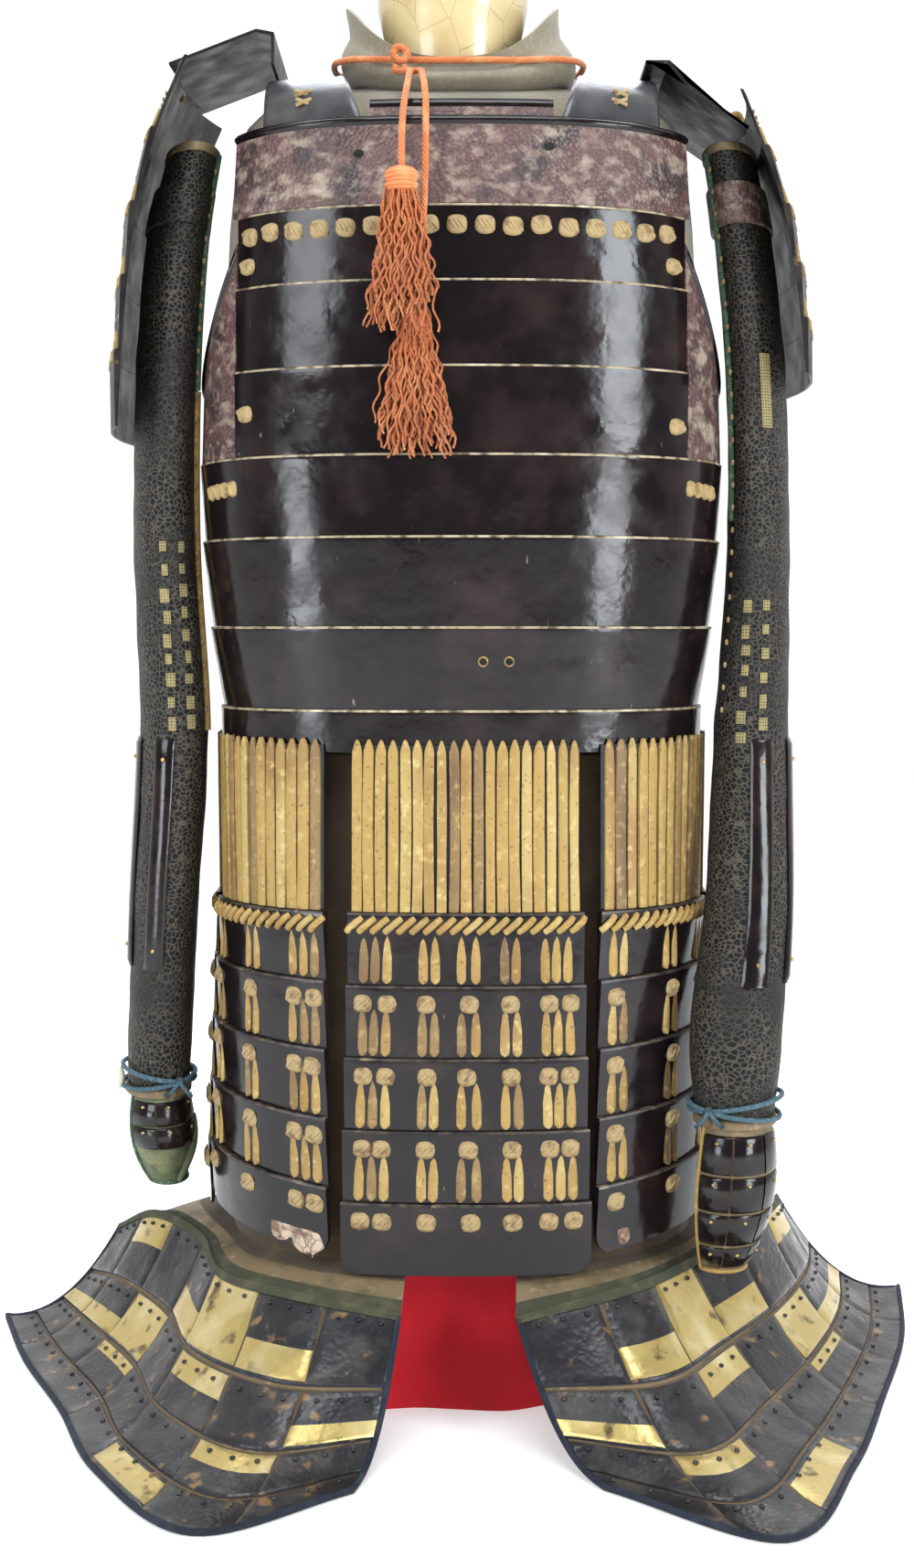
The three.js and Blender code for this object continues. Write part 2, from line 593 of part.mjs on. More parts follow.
// The apron's flap. Down runs from -2 at the waist through -1 at the thigh and 0 at the
// top of the plates to 1 at the hem.
function flapSurface(table, side) {
  const polar = (turn, reach, z) => new THREE.Vector3(
    side * Math.sin(radians(turn)) * reach,
    -Math.cos(radians(turn)) * reach,
    z,
  );
  const rounded = (points, share) => new THREE.CatmullRomCurve3(points, false, 'centripetal').getPoint(share);
  const waistSection = sectionAt(FORM, FLAP_WAIST);
  const lines = {
    waist: table.map((fold) => ringPoint(waistSection, side * fold.waistTurn, FLAP_WAIST, CLOTH_WALL + 4 * SEAM)),
    thigh: table.map((fold) => ringPoint(FLAP_THIGH, side * fold.waistTurn, FLAP_THIGH.z)),
    knee: table.map((fold) => polar(fold.kneeTurn, fold.kneeReach, fold.kneeLift)),
    hem: table.map((fold) => polar(fold.hemTurn, fold.hemReach, 0)),
  };
  const surface = (share, down) => {
    if (down <= -1) return rounded(lines.waist, share).lerp(rounded(lines.thigh, share), down + 2);
    if (down <= 0) return rounded(lines.thigh, share).lerp(rounded(lines.knee, share), down + 1);
    const knee = rounded(lines.knee, share);
    const point = knee.clone().lerp(rounded(lines.hem, share), down);
    point.z = CLOTH_WALL + (knee.z - CLOTH_WALL) * (1 - down) ** FLAP_SETTLE;
    return point;
  };
  const normalAt = (share, down) => {
    const small = 0.01;
    const across = surface(Math.min(1, share + small), down).sub(surface(Math.max(0, share - small), down));
    const along = surface(share, Math.min(1, down + small)).sub(surface(share, Math.max(-2, down - small)));
    return across.cross(along).normalize().multiplyScalar(-side);
  };
  return (share, down, out) => {
    const point = surface(share, down).addScaledVector(normalAt(share, down), out);
    point.z = Math.max(point.z, CLOTH_WALL + out);
    return point;
  };
}

function flapCloth(table, side) {
  return panel(flapSurface(table, side), steps(FLAP_COLUMNS), FLAP_DOWNS, () => -CLOTH_WALL, () => 0);
}

// A row of lacquered leather plates lies on the flap, with its lower edge tipped outwards.
function plateRow(table, side, { from, to }) {
  const surface = flapSurface(table, side);
  const kept = (down) => THREE.MathUtils.clamp(down, from + ROW_SEAM, to - ROW_SEAM);
  const shrunk = (share, down, out) => surface(share, kept(down), out);
  const levels = FLAP_DOWNS.filter((down) => down >= from && down <= to);
  const tilt = (down) => (to < 1 && down === to ? ROW_TILT : 0);
  return panel(shrunk, steps(FLAP_COLUMNS), levels, () => SEAM, (_, down) => SEAM + PLATE_WALL + tilt(down));
}

// The cord's route lies on the collar, from one side of the knot round to the other.
function neckCordRoute() {
  return turnsBetween(KNOT.turn + 1, KNOT.turn + 359, 24).map((turn) => {
    const [foot, rim] = [collarPoint(turn, 0, 0), collarPoint(turn, 1, 0)];
    const z = lerp(CORD_HEIGHT.front, CORD_HEIGHT.back, (1 - Math.cos(radians(turn))) / 2);
    const share = THREE.MathUtils.clamp((z - foot.z) / (rim.z - foot.z), 0.1, 0.85);
    return collarPoint(turn, share, CORD_RADIUS + CORD_HEIGHT.off).toArray();
  });
}

const knotCentre = () => collarPoint(KNOT.turn, 0.8, KNOT.out);

function knot() {
  return new THREE.SphereGeometry(1, 10, 8).scale(...KNOT.half).translate(...knotCentre().toArray());
}

// A tassel's cord leaves the knot and lies over the chest to the tassel's head.
function tasselCord(name) {
  const start = knotCentre().add(new THREE.Vector3(...TASSEL_CORD_STARTS[name]));
  const below = start.clone().add(new THREE.Vector3(0, -1.5, -4));
  return cord([start.toArray(), below.toArray(), ...TASSEL_CORD_ROUTES[name]], 18);
}

// A round cord along a route.
function cord(route, stepCount) {
  const curve = new THREE.CatmullRomCurve3(route.map((point) => new THREE.Vector3(...point)));
  const section = new THREE.Shape(steps(6).slice(0, -1).map((share) => new THREE.Vector2(
    CORD_RADIUS * Math.cos(2 * Math.PI * share),
    CORD_RADIUS * Math.sin(2 * Math.PI * share),
  )));
  return new THREE.ExtrudeGeometry(section, { steps: stepCount, extrudePath: curve });
}

// A tassel: a turned head over three-sided strands that spread towards their ends.
function tassel({ x, y, footY, headTop, headRadius, headHeight, foot, spread, depth }) {
  const headFoot = headTop - headHeight;
  const profile = [
    [0, headFoot], [headRadius, headFoot], [headRadius * 1.08, headFoot + 5],
    [headRadius * 0.7, headTop - 2], [0, headTop],
  ];
  const head = new THREE.LatheGeometry(profile.map(([r, z]) => new THREE.Vector2(r, z)), 10)
    .rotateX(Math.PI / 2)
    .translate(x, y, 0);
  const strands = Array.from({ length: TASSEL_STRANDS }, (_, i) => {
    const ring = Math.sqrt((i + 0.5) / TASSEL_STRANDS);
    const turn = i * 2.39996;
    const offset = [Math.cos(turn) * ring, Math.sin(turn) * ring];
    const level = (z, share, thick) => [0, 1, 2].map((corner) => new THREE.Vector3(
      x + offset[0] * lerp(headRadius * 0.7, spread, share) + thick * Math.cos(corner * 2.0944 + turn),
      lerp(y, footY, share) + offset[1] * lerp(headRadius * 0.7, depth, share)
        + thick * Math.sin(corner * 2.0944 + turn),
      z,
    ));
    const tip = foot + 14 * Math.abs(Math.sin(i * 1.7));
    return loft([level(headFoot + 3, 0, 1.3), level(tip, 1, 1.8)]);
  });
  return joined([head, ...strands]);
}

place('form_stand', stand(), 'redCloth');
place('form_body', formBody(), 'formCloth');
place('form_neck', neck(), 'ivory');
place('form_collar', collar(), 'formCloth');

place('chest_plate', chestPlate(), 'grainedLeather');
place('throat_plate', throatPlate(), 'grainedLeather');
LAME_TOPS.forEach((_, i) => place(`front_lame_${i + 1}`, frontLame(i), 'lacquer'));
place('back_plate', backPlate(), 'grainedLeather');
place('back_lames', backShell(), 'lacquer');

const WINGS = { left: LEFT_WING, right: RIGHT_WING };
const THONGS = {
  left: [[184, 913.1], [190, 913.5], [198, 909], [197.2, 896]],
  right: [[184, 873.1], [189, 884], [196, 887], [201, 874]],
};
const TIE_TOPS = { left: 908.8, right: 868.7 };
const HANDS = {
  left: { from: -130, to: 60, length: 62, curl: 6 },
  right: { from: -50, to: 150, length: 96, curl: 8 },
};
const sides = [
  { name: 'left', side: -1, sleeveTable: LEFT_SLEEVE, guardTable: LEFT_GUARD, flapTable: LEFT_FLAP },
  { name: 'right', side: 1, sleeveTable: RIGHT_SLEEVE, guardTable: RIGHT_GUARD, flapTable: RIGHT_FLAP },
];

for (const { name, side, sleeveTable, guardTable, flapTable } of sides) {
  place(`armpit_plate_${name}`, armpitPlate(side), 'grainedLeather');
  place(`shoulder_strap_${name}`, shoulderStrap(side), 'agedLacquer');
  place(`shoulder_wing_${name}`, shoulderWing(side, WINGS[name]), 'lacquer');
  place(`sleeve_${name}`, sleeve(sleeveTable, side, TIE_TOPS[name]), 'mail');
  place(`hand_guard_${name}`, handGuard(sleeveTable, side, HANDS[name]), 'lacquer');
  place(`shoulder_guard_${name}`, shoulderGuard(guardTable, side, THONGS[name]), 'lacquer');
  place(`apron_flap_${name}`, flapCloth(flapTable, side), 'apronCloth');
  for (const row of PLATE_ROWS) {
    place(`apron_plates_${name}_${row.name}`, plateRow(flapTable, side, row), 'agedLacquer');
  }
}

for (const tasset of TASSETS) {
  place(`hanging_strips_${tasset.name}`, hangingStrips(tasset), 'smokedLeather');
  place(`tasset_${tasset.name}`, tassetPiece(tasset), 'lacquer');
}

place('neck_cord', cord(neckCordRoute(), 40), 'silk');
place('cord_knot', knot(), 'silk');
for (const row of TASSELS) {
  place(`tassel_cord_${row.name}`, tasselCord(row.name), 'silk');
  place(`tassel_${row.name}`, tassel(row), 'silk');
}

export default armour;
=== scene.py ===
import bisect
import math
import random

import bpy
from mathutils import Matrix, Vector
from mathutils.noise import noise


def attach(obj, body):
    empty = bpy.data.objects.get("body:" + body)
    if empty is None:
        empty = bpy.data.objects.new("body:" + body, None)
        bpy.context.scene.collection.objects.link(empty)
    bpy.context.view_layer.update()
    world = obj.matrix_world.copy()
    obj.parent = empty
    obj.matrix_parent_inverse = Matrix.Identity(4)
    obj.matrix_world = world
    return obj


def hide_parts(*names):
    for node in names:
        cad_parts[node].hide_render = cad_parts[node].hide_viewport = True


# A lamellar armour on a limbless dress form. Shapes are worked out in millimetres,
# as in the CAD model, and become metres when a piece is made.
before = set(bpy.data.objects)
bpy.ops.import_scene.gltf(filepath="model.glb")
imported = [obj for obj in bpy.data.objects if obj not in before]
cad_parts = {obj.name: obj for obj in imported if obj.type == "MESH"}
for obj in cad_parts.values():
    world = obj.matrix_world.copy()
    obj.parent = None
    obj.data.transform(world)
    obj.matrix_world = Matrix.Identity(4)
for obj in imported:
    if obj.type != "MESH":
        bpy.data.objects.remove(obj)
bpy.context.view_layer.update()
chance = random.Random(11)
MM = 0.001

# Camera.
CAMERA = {"place": (-0.003, -1.450, 0.524), "pitch_down": 4.36, "lens": 46.08}
camera_data = bpy.data.cameras.new("camera")
camera_data.lens = CAMERA["lens"]
camera_data.sensor_width = 36
camera = bpy.data.objects.new("camera", camera_data)
camera.location = CAMERA["place"]
camera.rotation_euler = (math.radians(90 - CAMERA["pitch_down"]), 0, 0)
bpy.context.scene.collection.objects.link(camera)
bpy.context.scene.camera = camera
bpy.context.scene.view_settings.view_transform = "Standard"


# Sizes, as in the CAD model.
SEAM = 0.3
BODY_POWER = 2.6
# Body rings: height, half width, reach to the front, reach to the back.
CUIRASS = [
    (440, 171, 131, 124), (472, 169, 130, 124), (527, 176, 135, 130), (586, 181, 138, 134),
    (639, 182, 138, 136), (696, 180, 136, 136), (751, 176, 133, 134), (802, 170, 130, 130),
    (870, 162, 124, 120),
]
LAME_TOPS = [799, 751, 696, 639, 586, 527, 472]
LAME_FLOOR = 444
LAME_LIP = 2.2
LAME_WALL = 2.0
FORM = [
    (190.3, 138, 112, 112), (330, 143, 112, 112), (450, 147, 111, 110), (560, 164, 122, 120),
    (700, 168, 122, 122), (800, 163, 112, 114), (850, 158, 96, 100), (872, 151, 82, 86),
    (886, 138, 64, 68), (896, 118, 40, 44), (900.6, 96, 13, 14),
]
TASSET_RINGS = [(340, 172, 149, 146), (103, 182, 166, 162)]
STRIP_RINGS = [(453, 173.2, 133.2, 126.2), (340.4, 172, 149, 146)]
# Each tasset: its middle along the ring, its width above and below, its foot's height and its slant.
TASSET_TOP, TASSET_LAMES, TASSET_LIP = 340, 5, 3.4
TASSETS = [
    ("front", 3, 154, 166, 103, 0), ("front_right", 151, 118, 124, 122, 9),
    ("side_right", 285, 118, 124, 122, 3), ("back_right", 420, 122, 126, 120, 0),
    ("back_left", -422, 122, 126, 120, 0), ("side_left", -285, 118, 124, 122, -3),
    ("front_left", -150, 118, 124, 122, -9),
]
# Sleeve rings: height, middle x and y, half width, half depth.
SLEEVES = {
    "left": [
        (855, -188, -12, 18, 46), (800, -199, -18, 21, 48), (700, -206.5, -24, 22, 48),
        (582, -208, -28, 22.5, 46), (452, -203, -32, 24, 44), (340, -209, -38, 23.5, 42),
        (255, -213, -42, 23, 38), (200, -215, -45, 22, 34),
    ],
    "right": [
        (855, 188, -12, 18, 46), (800, 197, -18, 20, 47), (700, 206.5, -25, 21, 46),
        (582, 208.5, -32, 22, 44), (452, 202, -52, 26, 42), (340, 195, -90, 29, 33),
        (255, 183, -128, 31, 31), (200, 181, -140, 26, 28),
    ],
}
SLEEVE_LEAN, SLEEVE_TOP, SLEEVE_FOOT = 10, 855, 200
# Guard lames: height of the upper edge, and how far out it is.
GUARD_HALF_LENGTH, GUARD_BOW = 98, 15
GUARDS = {
    "left": [(902, 197), (856, 217), (808, 231), (760, 238), (711, 243), (660, 246)],
    "right": [(880, 200), (844, 215), (806, 229), (768, 237), (732, 242), (695, 246)],
}
# Folds of the apron: turn at the waist; turn, reach and lift of the knee line; turn and reach of the hem.
FLAPS = {
    "left": [
        (8, 11.5, 196, 88, 14, 272), (28, 31, 200, 94, 26, 358), (50, 53, 200, 92, 44, 328),
        (66, 73, 190, 98, 63, 302), (84, 89, 222, 100, 82, 316), (102, 100, 262, 74, 98, 350),
    ],
    "right": [
        (8, 10.6, 190, 84, 18.5, 274), (28, 32, 196, 96, 29.5, 380), (48, 51, 188, 96, 47, 336),
        (66, 70, 206, 106, 68, 310), (84, 90, 228, 106, 90, 326), (102, 108, 256, 88, 108.5, 368),
    ],
}
SIDE = {"left": -1, "right": 1}


# Curves and surfaces.
def mix(a, b, share):
    return a + (b - a) * share


def spread(low, high, count):
    return [mix(low, high, i / count) for i in range(count + 1)]


def clamp(value, low, high):
    return min(max(value, low), high)


def section_at(table, z, smooth=False):
    """Reads the columns of a table of sections, whose first column is the height."""
    rows = sorted(table)
    z = clamp(z, rows[0][0], rows[-1][0])
    i = clamp(bisect.bisect_left([r[0] for r in rows], z), 1, len(rows) - 1)
    low, high = rows[i - 1], rows[i]
    share = (z - low[0]) / (high[0] - low[0])
    if not smooth:
        return [mix(a, b, share) for a, b in zip(low[1:], high[1:])]
    before, after = rows[max(i - 2, 0)], rows[min(i + 1, len(rows) - 1)]
    run = high[0] - low[0]
    values = []
    for p, a, b, n in zip(before[1:], low[1:], high[1:], after[1:]):
        slope_a = (b - p) / (high[0] - before[0]) * run
        slope_b = (n - a) / (after[0] - low[0]) * run
        t2, t3 = share ** 2, share ** 3
        values.append((2 * t3 - 3 * t2 + 1) * a + (t3 - 2 * t2 + share) * slope_a
                      + (3 * t2 - 2 * t3) * b + (t3 - t2) * slope_b)
    return values


def powered(value, power):
    return math.copysign(abs(value) ** power, value)


def ring_point(section, turn, z, out=0.0):
    """A point on a body ring: turn 0 is the middle of the front, 90 the right side."""
    half_width, front, back = section
    across = powered(math.sin(math.radians(turn)), 2 / BODY_POWER)
    forward = powered(math.cos(math.radians(turn)), 2 / BODY_POWER)
    reach = front if forward > 0 else back
    return Vector((across * (half_width + out), -forward * (reach + out), z))


ring_lengths = {}


def turn_at(table_name, table, z, length):
    """The turn at which a ring has been followed for a length from the front's middle."""
    key = (table_name, round(z, 1))
    if key not in ring_lengths:
        section = section_at(table, z)
        turns = [0.0] + [0.02 * 1.35 ** i for i in range(12)] + [float(t) for t in range(1, 84)]
        turns += [84 + 0.5 * i for i in range(13)] + [90.2 + 0.8 * i for i in range(112)] + [180.0]
        turns = sorted(turns)
        total, last, lengths = 0.0, ring_point(section, 0, 0), []
        for turn in turns:
            point = ring_point(section, turn, 0)
            total += (point - last).length
            last = point
            lengths.append(total)
        ring_lengths[key] = (lengths, turns)
    lengths, turns = ring_lengths[key]
    size = min(abs(length), lengths[-1])
    i = clamp(bisect.bisect_left(lengths, size), 1, len(lengths) - 1)
    run = lengths[i] - lengths[i - 1] or 1.0
    return math.copysign(mix(turns[i - 1], turns[i], (size - lengths[i - 1]) / run), length)


def along(table_name, table):
    """A surface on which u is the length round the body from the middle of its front."""
    return lambda u, z, out=0.0: ring_point(section_at(table, z), turn_at(table_name, table, z, u), z, out)


cuirass = along("cuirass", CUIRASS)


def half_length(z):
    """The length from the middle of the cuirass's front to its side seam."""
    key = ("cuirass", round(z, 1))
    cuirass(0, z)
    lengths, turns = ring_lengths[key]
    return lengths[bisect.bisect_left(turns, 89.9)]


def catmull(points, share):
    place = share * (len(points) - 1)
    i = min(int(place), len(points) - 2)
    t = place - i
    b, c = points[i], points[i + 1]
    a = points[i - 1] if i > 0 else b * 2 - c
    d = points[i + 2] if i + 2 < len(points) else c * 2 - b
    return (b * 2 + (c - a) * t + (a * 2 - b * 5 + c * 4 - d) * t ** 2
            + (b * 3 - a - c * 3 + d) * t ** 3) * 0.5


def circle(count):
    return [2 * math.pi * k / count for k in range(count)]


def distances(rings):
    """How far along its stack each ring lies, in metres."""
    found = [0.0]
    for upper, lower in zip(rings, rings[1:]):
        found.append(found[-1] + (lower[0] - upper[0]).length * MM)
    return found


# Building meshes.
class Piece:
    """Gathers the parts of one piece, and makes its object."""

    def __init__(self, name, materials, slot, nodes=()):
        self.name, self.materials, self.slot, self.nodes = name, materials, slot, nodes
        self.points, self.faces, self.marks, self.uvs = [], [], [], []

    def mark(self, name):
        if name not in self.materials:
            self.materials.append(name)
        return self.materials.index(name)

    def face(self, corners, material, uvs):
        self.faces.append(corners)
        self.marks.append(self.mark(material))
        self.uvs.extend(uvs)

    def wall(self, outer, inner, material, rim=None, wraps=False, pick=None):
        """A closed wall between two grids of points; rows run down it."""
        rows, columns = len(outer), len(outer[0])
        start = len(self.points)
        for grid in (outer, inner):
            for row in grid:
                self.points.extend(row)
        at = lambda r, c, s: start + s * rows * columns + r * columns + c % columns
        middle = outer[rows // 2]
        us = [0.0]
        for c in range(1, columns + (1 if wraps else 0)):
            us.append(us[-1] + (middle[c % columns] - middle[c - 1]).length * MM)
        vs = [0.0]
        for r in range(1, rows):
            vs.append(vs[-1] + (outer[r][columns // 2] - outer[r - 1][columns // 2]).length * MM)
        rim = rim or material
        for c in range(columns if wraps else columns - 1):
            for r in range(rows - 1):
                square = [(us[c], vs[r]), (us[c], vs[r + 1]), (us[c + 1], vs[r + 1]), (us[c + 1], vs[r])]
                self.face([at(r, c, 0), at(r + 1, c, 0), at(r + 1, c + 1, 0), at(r, c + 1, 0)],
                          pick(r, c) if pick else material, square)
                self.face([at(r, c, 1), at(r, c + 1, 1), at(r + 1, c + 1, 1), at(r + 1, c, 1)],
                          material, [square[0], square[3], square[2], square[1]])
            left, right = (us[c], vs[0]), (us[c + 1], vs[0])
            self.face([at(0, c, 0), at(0, c + 1, 0), at(0, c + 1, 1), at(0, c, 1)], rim,
                      [left, right, right, left])
            e = rows - 1
            left, right = (us[c], vs[e]), (us[c + 1], vs[e])
            self.face([at(e, c, 0), at(e, c, 1), at(e, c + 1, 1), at(e, c + 1, 0)], material,
                      [left, left, right, right])
        if not wraps:
            e = columns - 1
            for r in range(rows - 1):
                near, far = (us[0], vs[r]), (us[0], vs[r + 1])
                self.face([at(r, 0, 0), at(r, 0, 1), at(r + 1, 0, 1), at(r + 1, 0, 0)], material,
                          [near, near, far, far])
                near, far = (us[e], vs[r]), (us[e], vs[r + 1])
                self.face([at(r, e, 0), at(r + 1, e, 0), at(r + 1, e, 1), at(r, e, 1)], material,
                          [near, far, far, near])

    def shell(self, rings, material, around, down, flip=False, capped=True):
        """The skin of a stack of rings, with flat ends; flip is for rings that run the other way."""
        start, columns = len(self.points), len(rings[0])
        order = (0, 3, 2, 1) if flip else (0, 1, 2, 3)
        for ring in rings:
            self.points.extend(ring)
        for r in range(len(rings) - 1):
            for c in range(columns):
                near, far = start + r * columns + c, start + r * columns + (c + 1) % columns
                corners = (near, near + columns, far + columns, far)
                uvs = [(around[c + i], down[r + j]) for i, j in ((0, 0), (0, 1), (1, 1), (1, 0))]
                self.face([corners[k] for k in order], material, [uvs[k] for k in order])
        if capped:
            top = [start + c for c in range(columns)]
            foot = [corner + (len(rings) - 1) * columns for corner in top]
            self.face(top[::-1] if flip else top, material, [(0, 0)] * columns)
            self.face(foot if flip else foot[::-1], material, [(0, down[-1])] * columns)

    def solid(self, rings, material):
        """A full body through a stack of rings, from the top down, with flat ends."""
        middle = rings[len(rings) // 2]
        around = [0.0]
        for c, point in enumerate(middle):
            around.append(around[-1] + (middle[(c + 1) % len(middle)] - point).length * MM)
        self.shell(rings, material, around, distances(rings))

    def panel(self, surface, us, vs, inner, outer, material, rim=None, wraps=False, pick=None):
        """A wall on a surface; inner and outer give each face's offset at (u, v)."""
        face = lambda out: [[surface(u, v, out(u, v)) for u in us] for v in vs]
        self.wall(face(outer), face(inner), material, rim, wraps, pick)

    def patch(self, surface, centre, half, spin, out, height, material, cells=4, square=0.5):
        """A small domed patch that lies on a surface whose u and v are lengths.
        A smaller square gives it squarer corners."""
        (u, v), (a, b) = centre, half
        cos, sin = math.cos(math.radians(spin)), math.sin(math.radians(spin))

        def point(s, t, lift):
            x, y = s * a * math.sqrt(1 - 0.38 * t * t), t * b * math.sqrt(1 - 0.38 * s * s)
            return surface(u + x * cos - y * sin, v + x * sin + y * cos, lift)

        grid = spread(-1, 1, cells)
        fall = lambda s: (1 - abs(s) ** (2 / square)) ** 0.5
        dome = lambda s, t: out + height * fall(s) * fall(t)
        outer = [[point(s, -t, dome(s, t)) for s in grid] for t in grid]
        inner = [[point(s, -t, out - 0.6) for s in grid] for t in grid]
        self.wall(outer, inner, material)

    def tube(self, path, radius, material, sides=8, wide=1.0, closed=False):
        """A round or flattened cord through a list of points, with closed ends."""
        count = len(path)
        normal = None
        rings = []
        for i, point in enumerate(path):
            after = path[(i + 1) % count] if closed else path[min(i + 1, count - 1)]
            before = path[i - 1] if closed or i else path[0]
            ahead = (after - before).normalized()
            if normal is None:
                normal = ahead.orthogonal().normalized()
            normal = (normal - ahead * normal.dot(ahead)).normalized()
            other = ahead.cross(normal)
            size = radius(i / max(1, count - 1)) if callable(radius) else radius
            rings.append([point + (normal * math.cos(a) * wide + other * math.sin(a)) * size
                          for a in circle(sides)])
        if closed:
            rings.append(rings[0])
        around = [k / sides for k in range(sides + 1)]
        self.shell(rings, material, around, distances(rings), flip=True, capped=not closed)

    def ball(self, centre, half, material, rings=8, sides=12):
        """A closed rounded lump."""
        stack = []
        for r in range(rings + 1):
            fall = math.pi * clamp(r, 0.02, rings - 0.02) / rings
            stack.append([centre + Vector((math.sin(fall) * math.cos(a) * half[0],
                                           math.sin(fall) * math.sin(a) * half[1],
                                           math.cos(fall) * half[2])) for a in circle(sides)])
        self.shell(stack, material, [k / sides for k in range(sides + 1)],
                   [r / rings for r in range(rings + 1)])

    def make(self, sharp=38):
        """The object, in metres; edges sharper than the angle stay sharp."""
        mesh = bpy.data.meshes.new(self.name)
        mesh.from_pydata([tuple(p * MM) for p in self.points], [], self.faces)
        for name in self.materials:
            mesh.materials.append(MATERIALS[name])
        mesh.polygons.foreach_set("material_index", self.marks)
        layer = mesh.uv_layers.new(name="map")
        layer.data.foreach_set("uv", [value for pair in self.uvs for value in pair])
        mesh.shade_smooth()
        mesh.set_sharp_from_angle(angle=math.radians(sharp))
        mesh.update()
        piece = bpy.data.objects.new(self.name, mesh)
        bpy.context.scene.collection.objects.link(piece)
        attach(piece, "root")
        if self.nodes:
            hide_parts(*self.nodes)
        return piece


# Materials.
def texture(tree, kind, scale, detail, vector):
    """A grey texture, from 0 to 1."""
    if kind == "noise":
        node = tree.nodes.new("ShaderNodeTexNoise")
        node.inputs["Detail"].default_value = detail
        node.inputs["Scale"].default_value = scale
        tree.links.new(vector, node.inputs["Vector"])
        return node.outputs["Fac"]
    if kind in ("cells", "cracks", "grid"):
        node = tree.nodes.new("ShaderNodeTexVoronoi")
        node.feature = "DISTANCE_TO_EDGE" if kind == "cracks" else "F1"
        node.inputs["Scale"].default_value = scale
        if kind == "grid":
            node.inputs["Randomness"].default_value = 0.0
        tree.links.new(vector, node.inputs["Vector"])
        return node.outputs["Distance"]
    node = tree.nodes.new("ShaderNodeTexWave")
    node.bands_direction = {"bands_u": "X", "bands_v": "Y", "bands_d": "DIAGONAL"}[kind]
    node.inputs["Scale"].default_value = scale
    node.inputs["Distortion"].default_value = detail
    node.inputs["Detail"].default_value = 1.0
    tree.links.new(vector, node.inputs["Vector"])
    return node.outputs["Fac"]


def ranged(tree, value, low, high, to_low=0.0, to_high=1.0):
    """A value spread from one range over another."""
    ramp = tree.nodes.new("ShaderNodeMapRange")
    for key, limit in (("From Min", low), ("From Max", high), ("To Min", to_low), ("To Max", to_high)):
        ramp.inputs[key].default_value = limit
    tree.links.new(value, ramp.inputs["Value"])
    return ramp.outputs["Result"]


def make_material(name, colour, rough, layers=(), bumps=(), metallic=0.0, coat=0.0, sheen=0.0, vary=0.0,
                  shine=0.5):
    """A node material. Each layer is (texture, scale, detail, stretch, colour, from, to), and each
    bump is (texture, scale, detail, stretch, height in millimetres)."""
    material = bpy.data.materials.new(name)
    material.use_nodes = True
    material.diffuse_color = (*colour, 1)
    tree = material.node_tree
    shader = tree.nodes["Principled BSDF"]
    values = {"Base Color": (*colour, 1), "Roughness": rough, "Metallic": metallic,
              "Specular IOR Level": shine,
              "Coat Weight": coat, "Coat Roughness": 0.12, "Sheen Weight": sheen}
    for key, value in values.items():
        shader.inputs[key].default_value = value
    places = tree.nodes.new("ShaderNodeTexCoord")
    sources = {}

    def vector_for(stretch):
        kind = "UV" if stretch and stretch[0] == "uv" else "Object"
        scale = (stretch[1:] if kind == "UV" else stretch) or (1, 1, 1)
        if (kind, scale) not in sources:
            mapping = tree.nodes.new("ShaderNodeMapping")
            mapping.inputs["Scale"].default_value = scale
            tree.links.new(places.outputs[kind], mapping.inputs["Vector"])
            sources[(kind, scale)] = mapping.outputs["Vector"]
        return sources[(kind, scale)]

    colour_out = None
    for kind, scale, detail, stretch, second, low, high in layers:
        share = ranged(tree, texture(tree, kind, scale, detail, vector_for(stretch)), low, high)
        blend = tree.nodes.new("ShaderNodeMix")
        blend.data_type = "RGBA"
        blend.inputs["A"].default_value = (*colour, 1)
        blend.inputs["B"].default_value = (*second, 1)
        if colour_out:
            tree.links.new(colour_out, blend.inputs["A"])
        tree.links.new(share, blend.inputs["Factor"])
        colour_out = blend.outputs["Result"]
    if colour_out:
        tree.links.new(colour_out, shader.inputs["Base Color"])
    if vary:
        value = texture(tree, "noise", 45, 3, vector_for(()))
        limits = max(0.03, rough - vary), min(1.0, rough + vary)
        tree.links.new(ranged(tree, value, 0.35, 0.7, *limits), shader.inputs["Roughness"])
    normal_out = None
    for kind, scale, detail, stretch, height in bumps:
        value = texture(tree, kind, scale, detail, vector_for(stretch))
        bump = tree.nodes.new("ShaderNodeBump")
        bump.inputs["Strength"].default_value = 1.0
        bump.inputs["Distance"].default_value = height * MM
        tree.links.new(value, bump.inputs["Height"])
        if normal_out:
            tree.links.new(normal_out, bump.inputs["Normal"])
        normal_out = bump.outputs["Normal"]
    if normal_out:
        tree.links.new(normal_out, shader.inputs["Normal"])
    return material


def weave(scale, height, wander=0.5):
    """The threads of a cloth, across and along it."""
    return [(kind, scale, wander, UV, height) for kind in ("bands_u", "bands_v")]


def strip_look(base, dark, pale, spots):
    """One tone of the smoked leather, with darker clouds, paler clouds and small dark spots."""
    return dict(colour=base, rough=0.62, vary=0.1,
                layers=[("noise", 22, 5, (1, 1, 0.5), dark[0], *dark[1:]),
                        ("noise", 170, 4, (), pale, 0.55, 0.7), ("noise", 420, 2, (), spots, 0.62, 0.7)],
                bumps=[("noise", 420, 4, (), 0.25), ("noise", 90, 2, (), 0.4)])


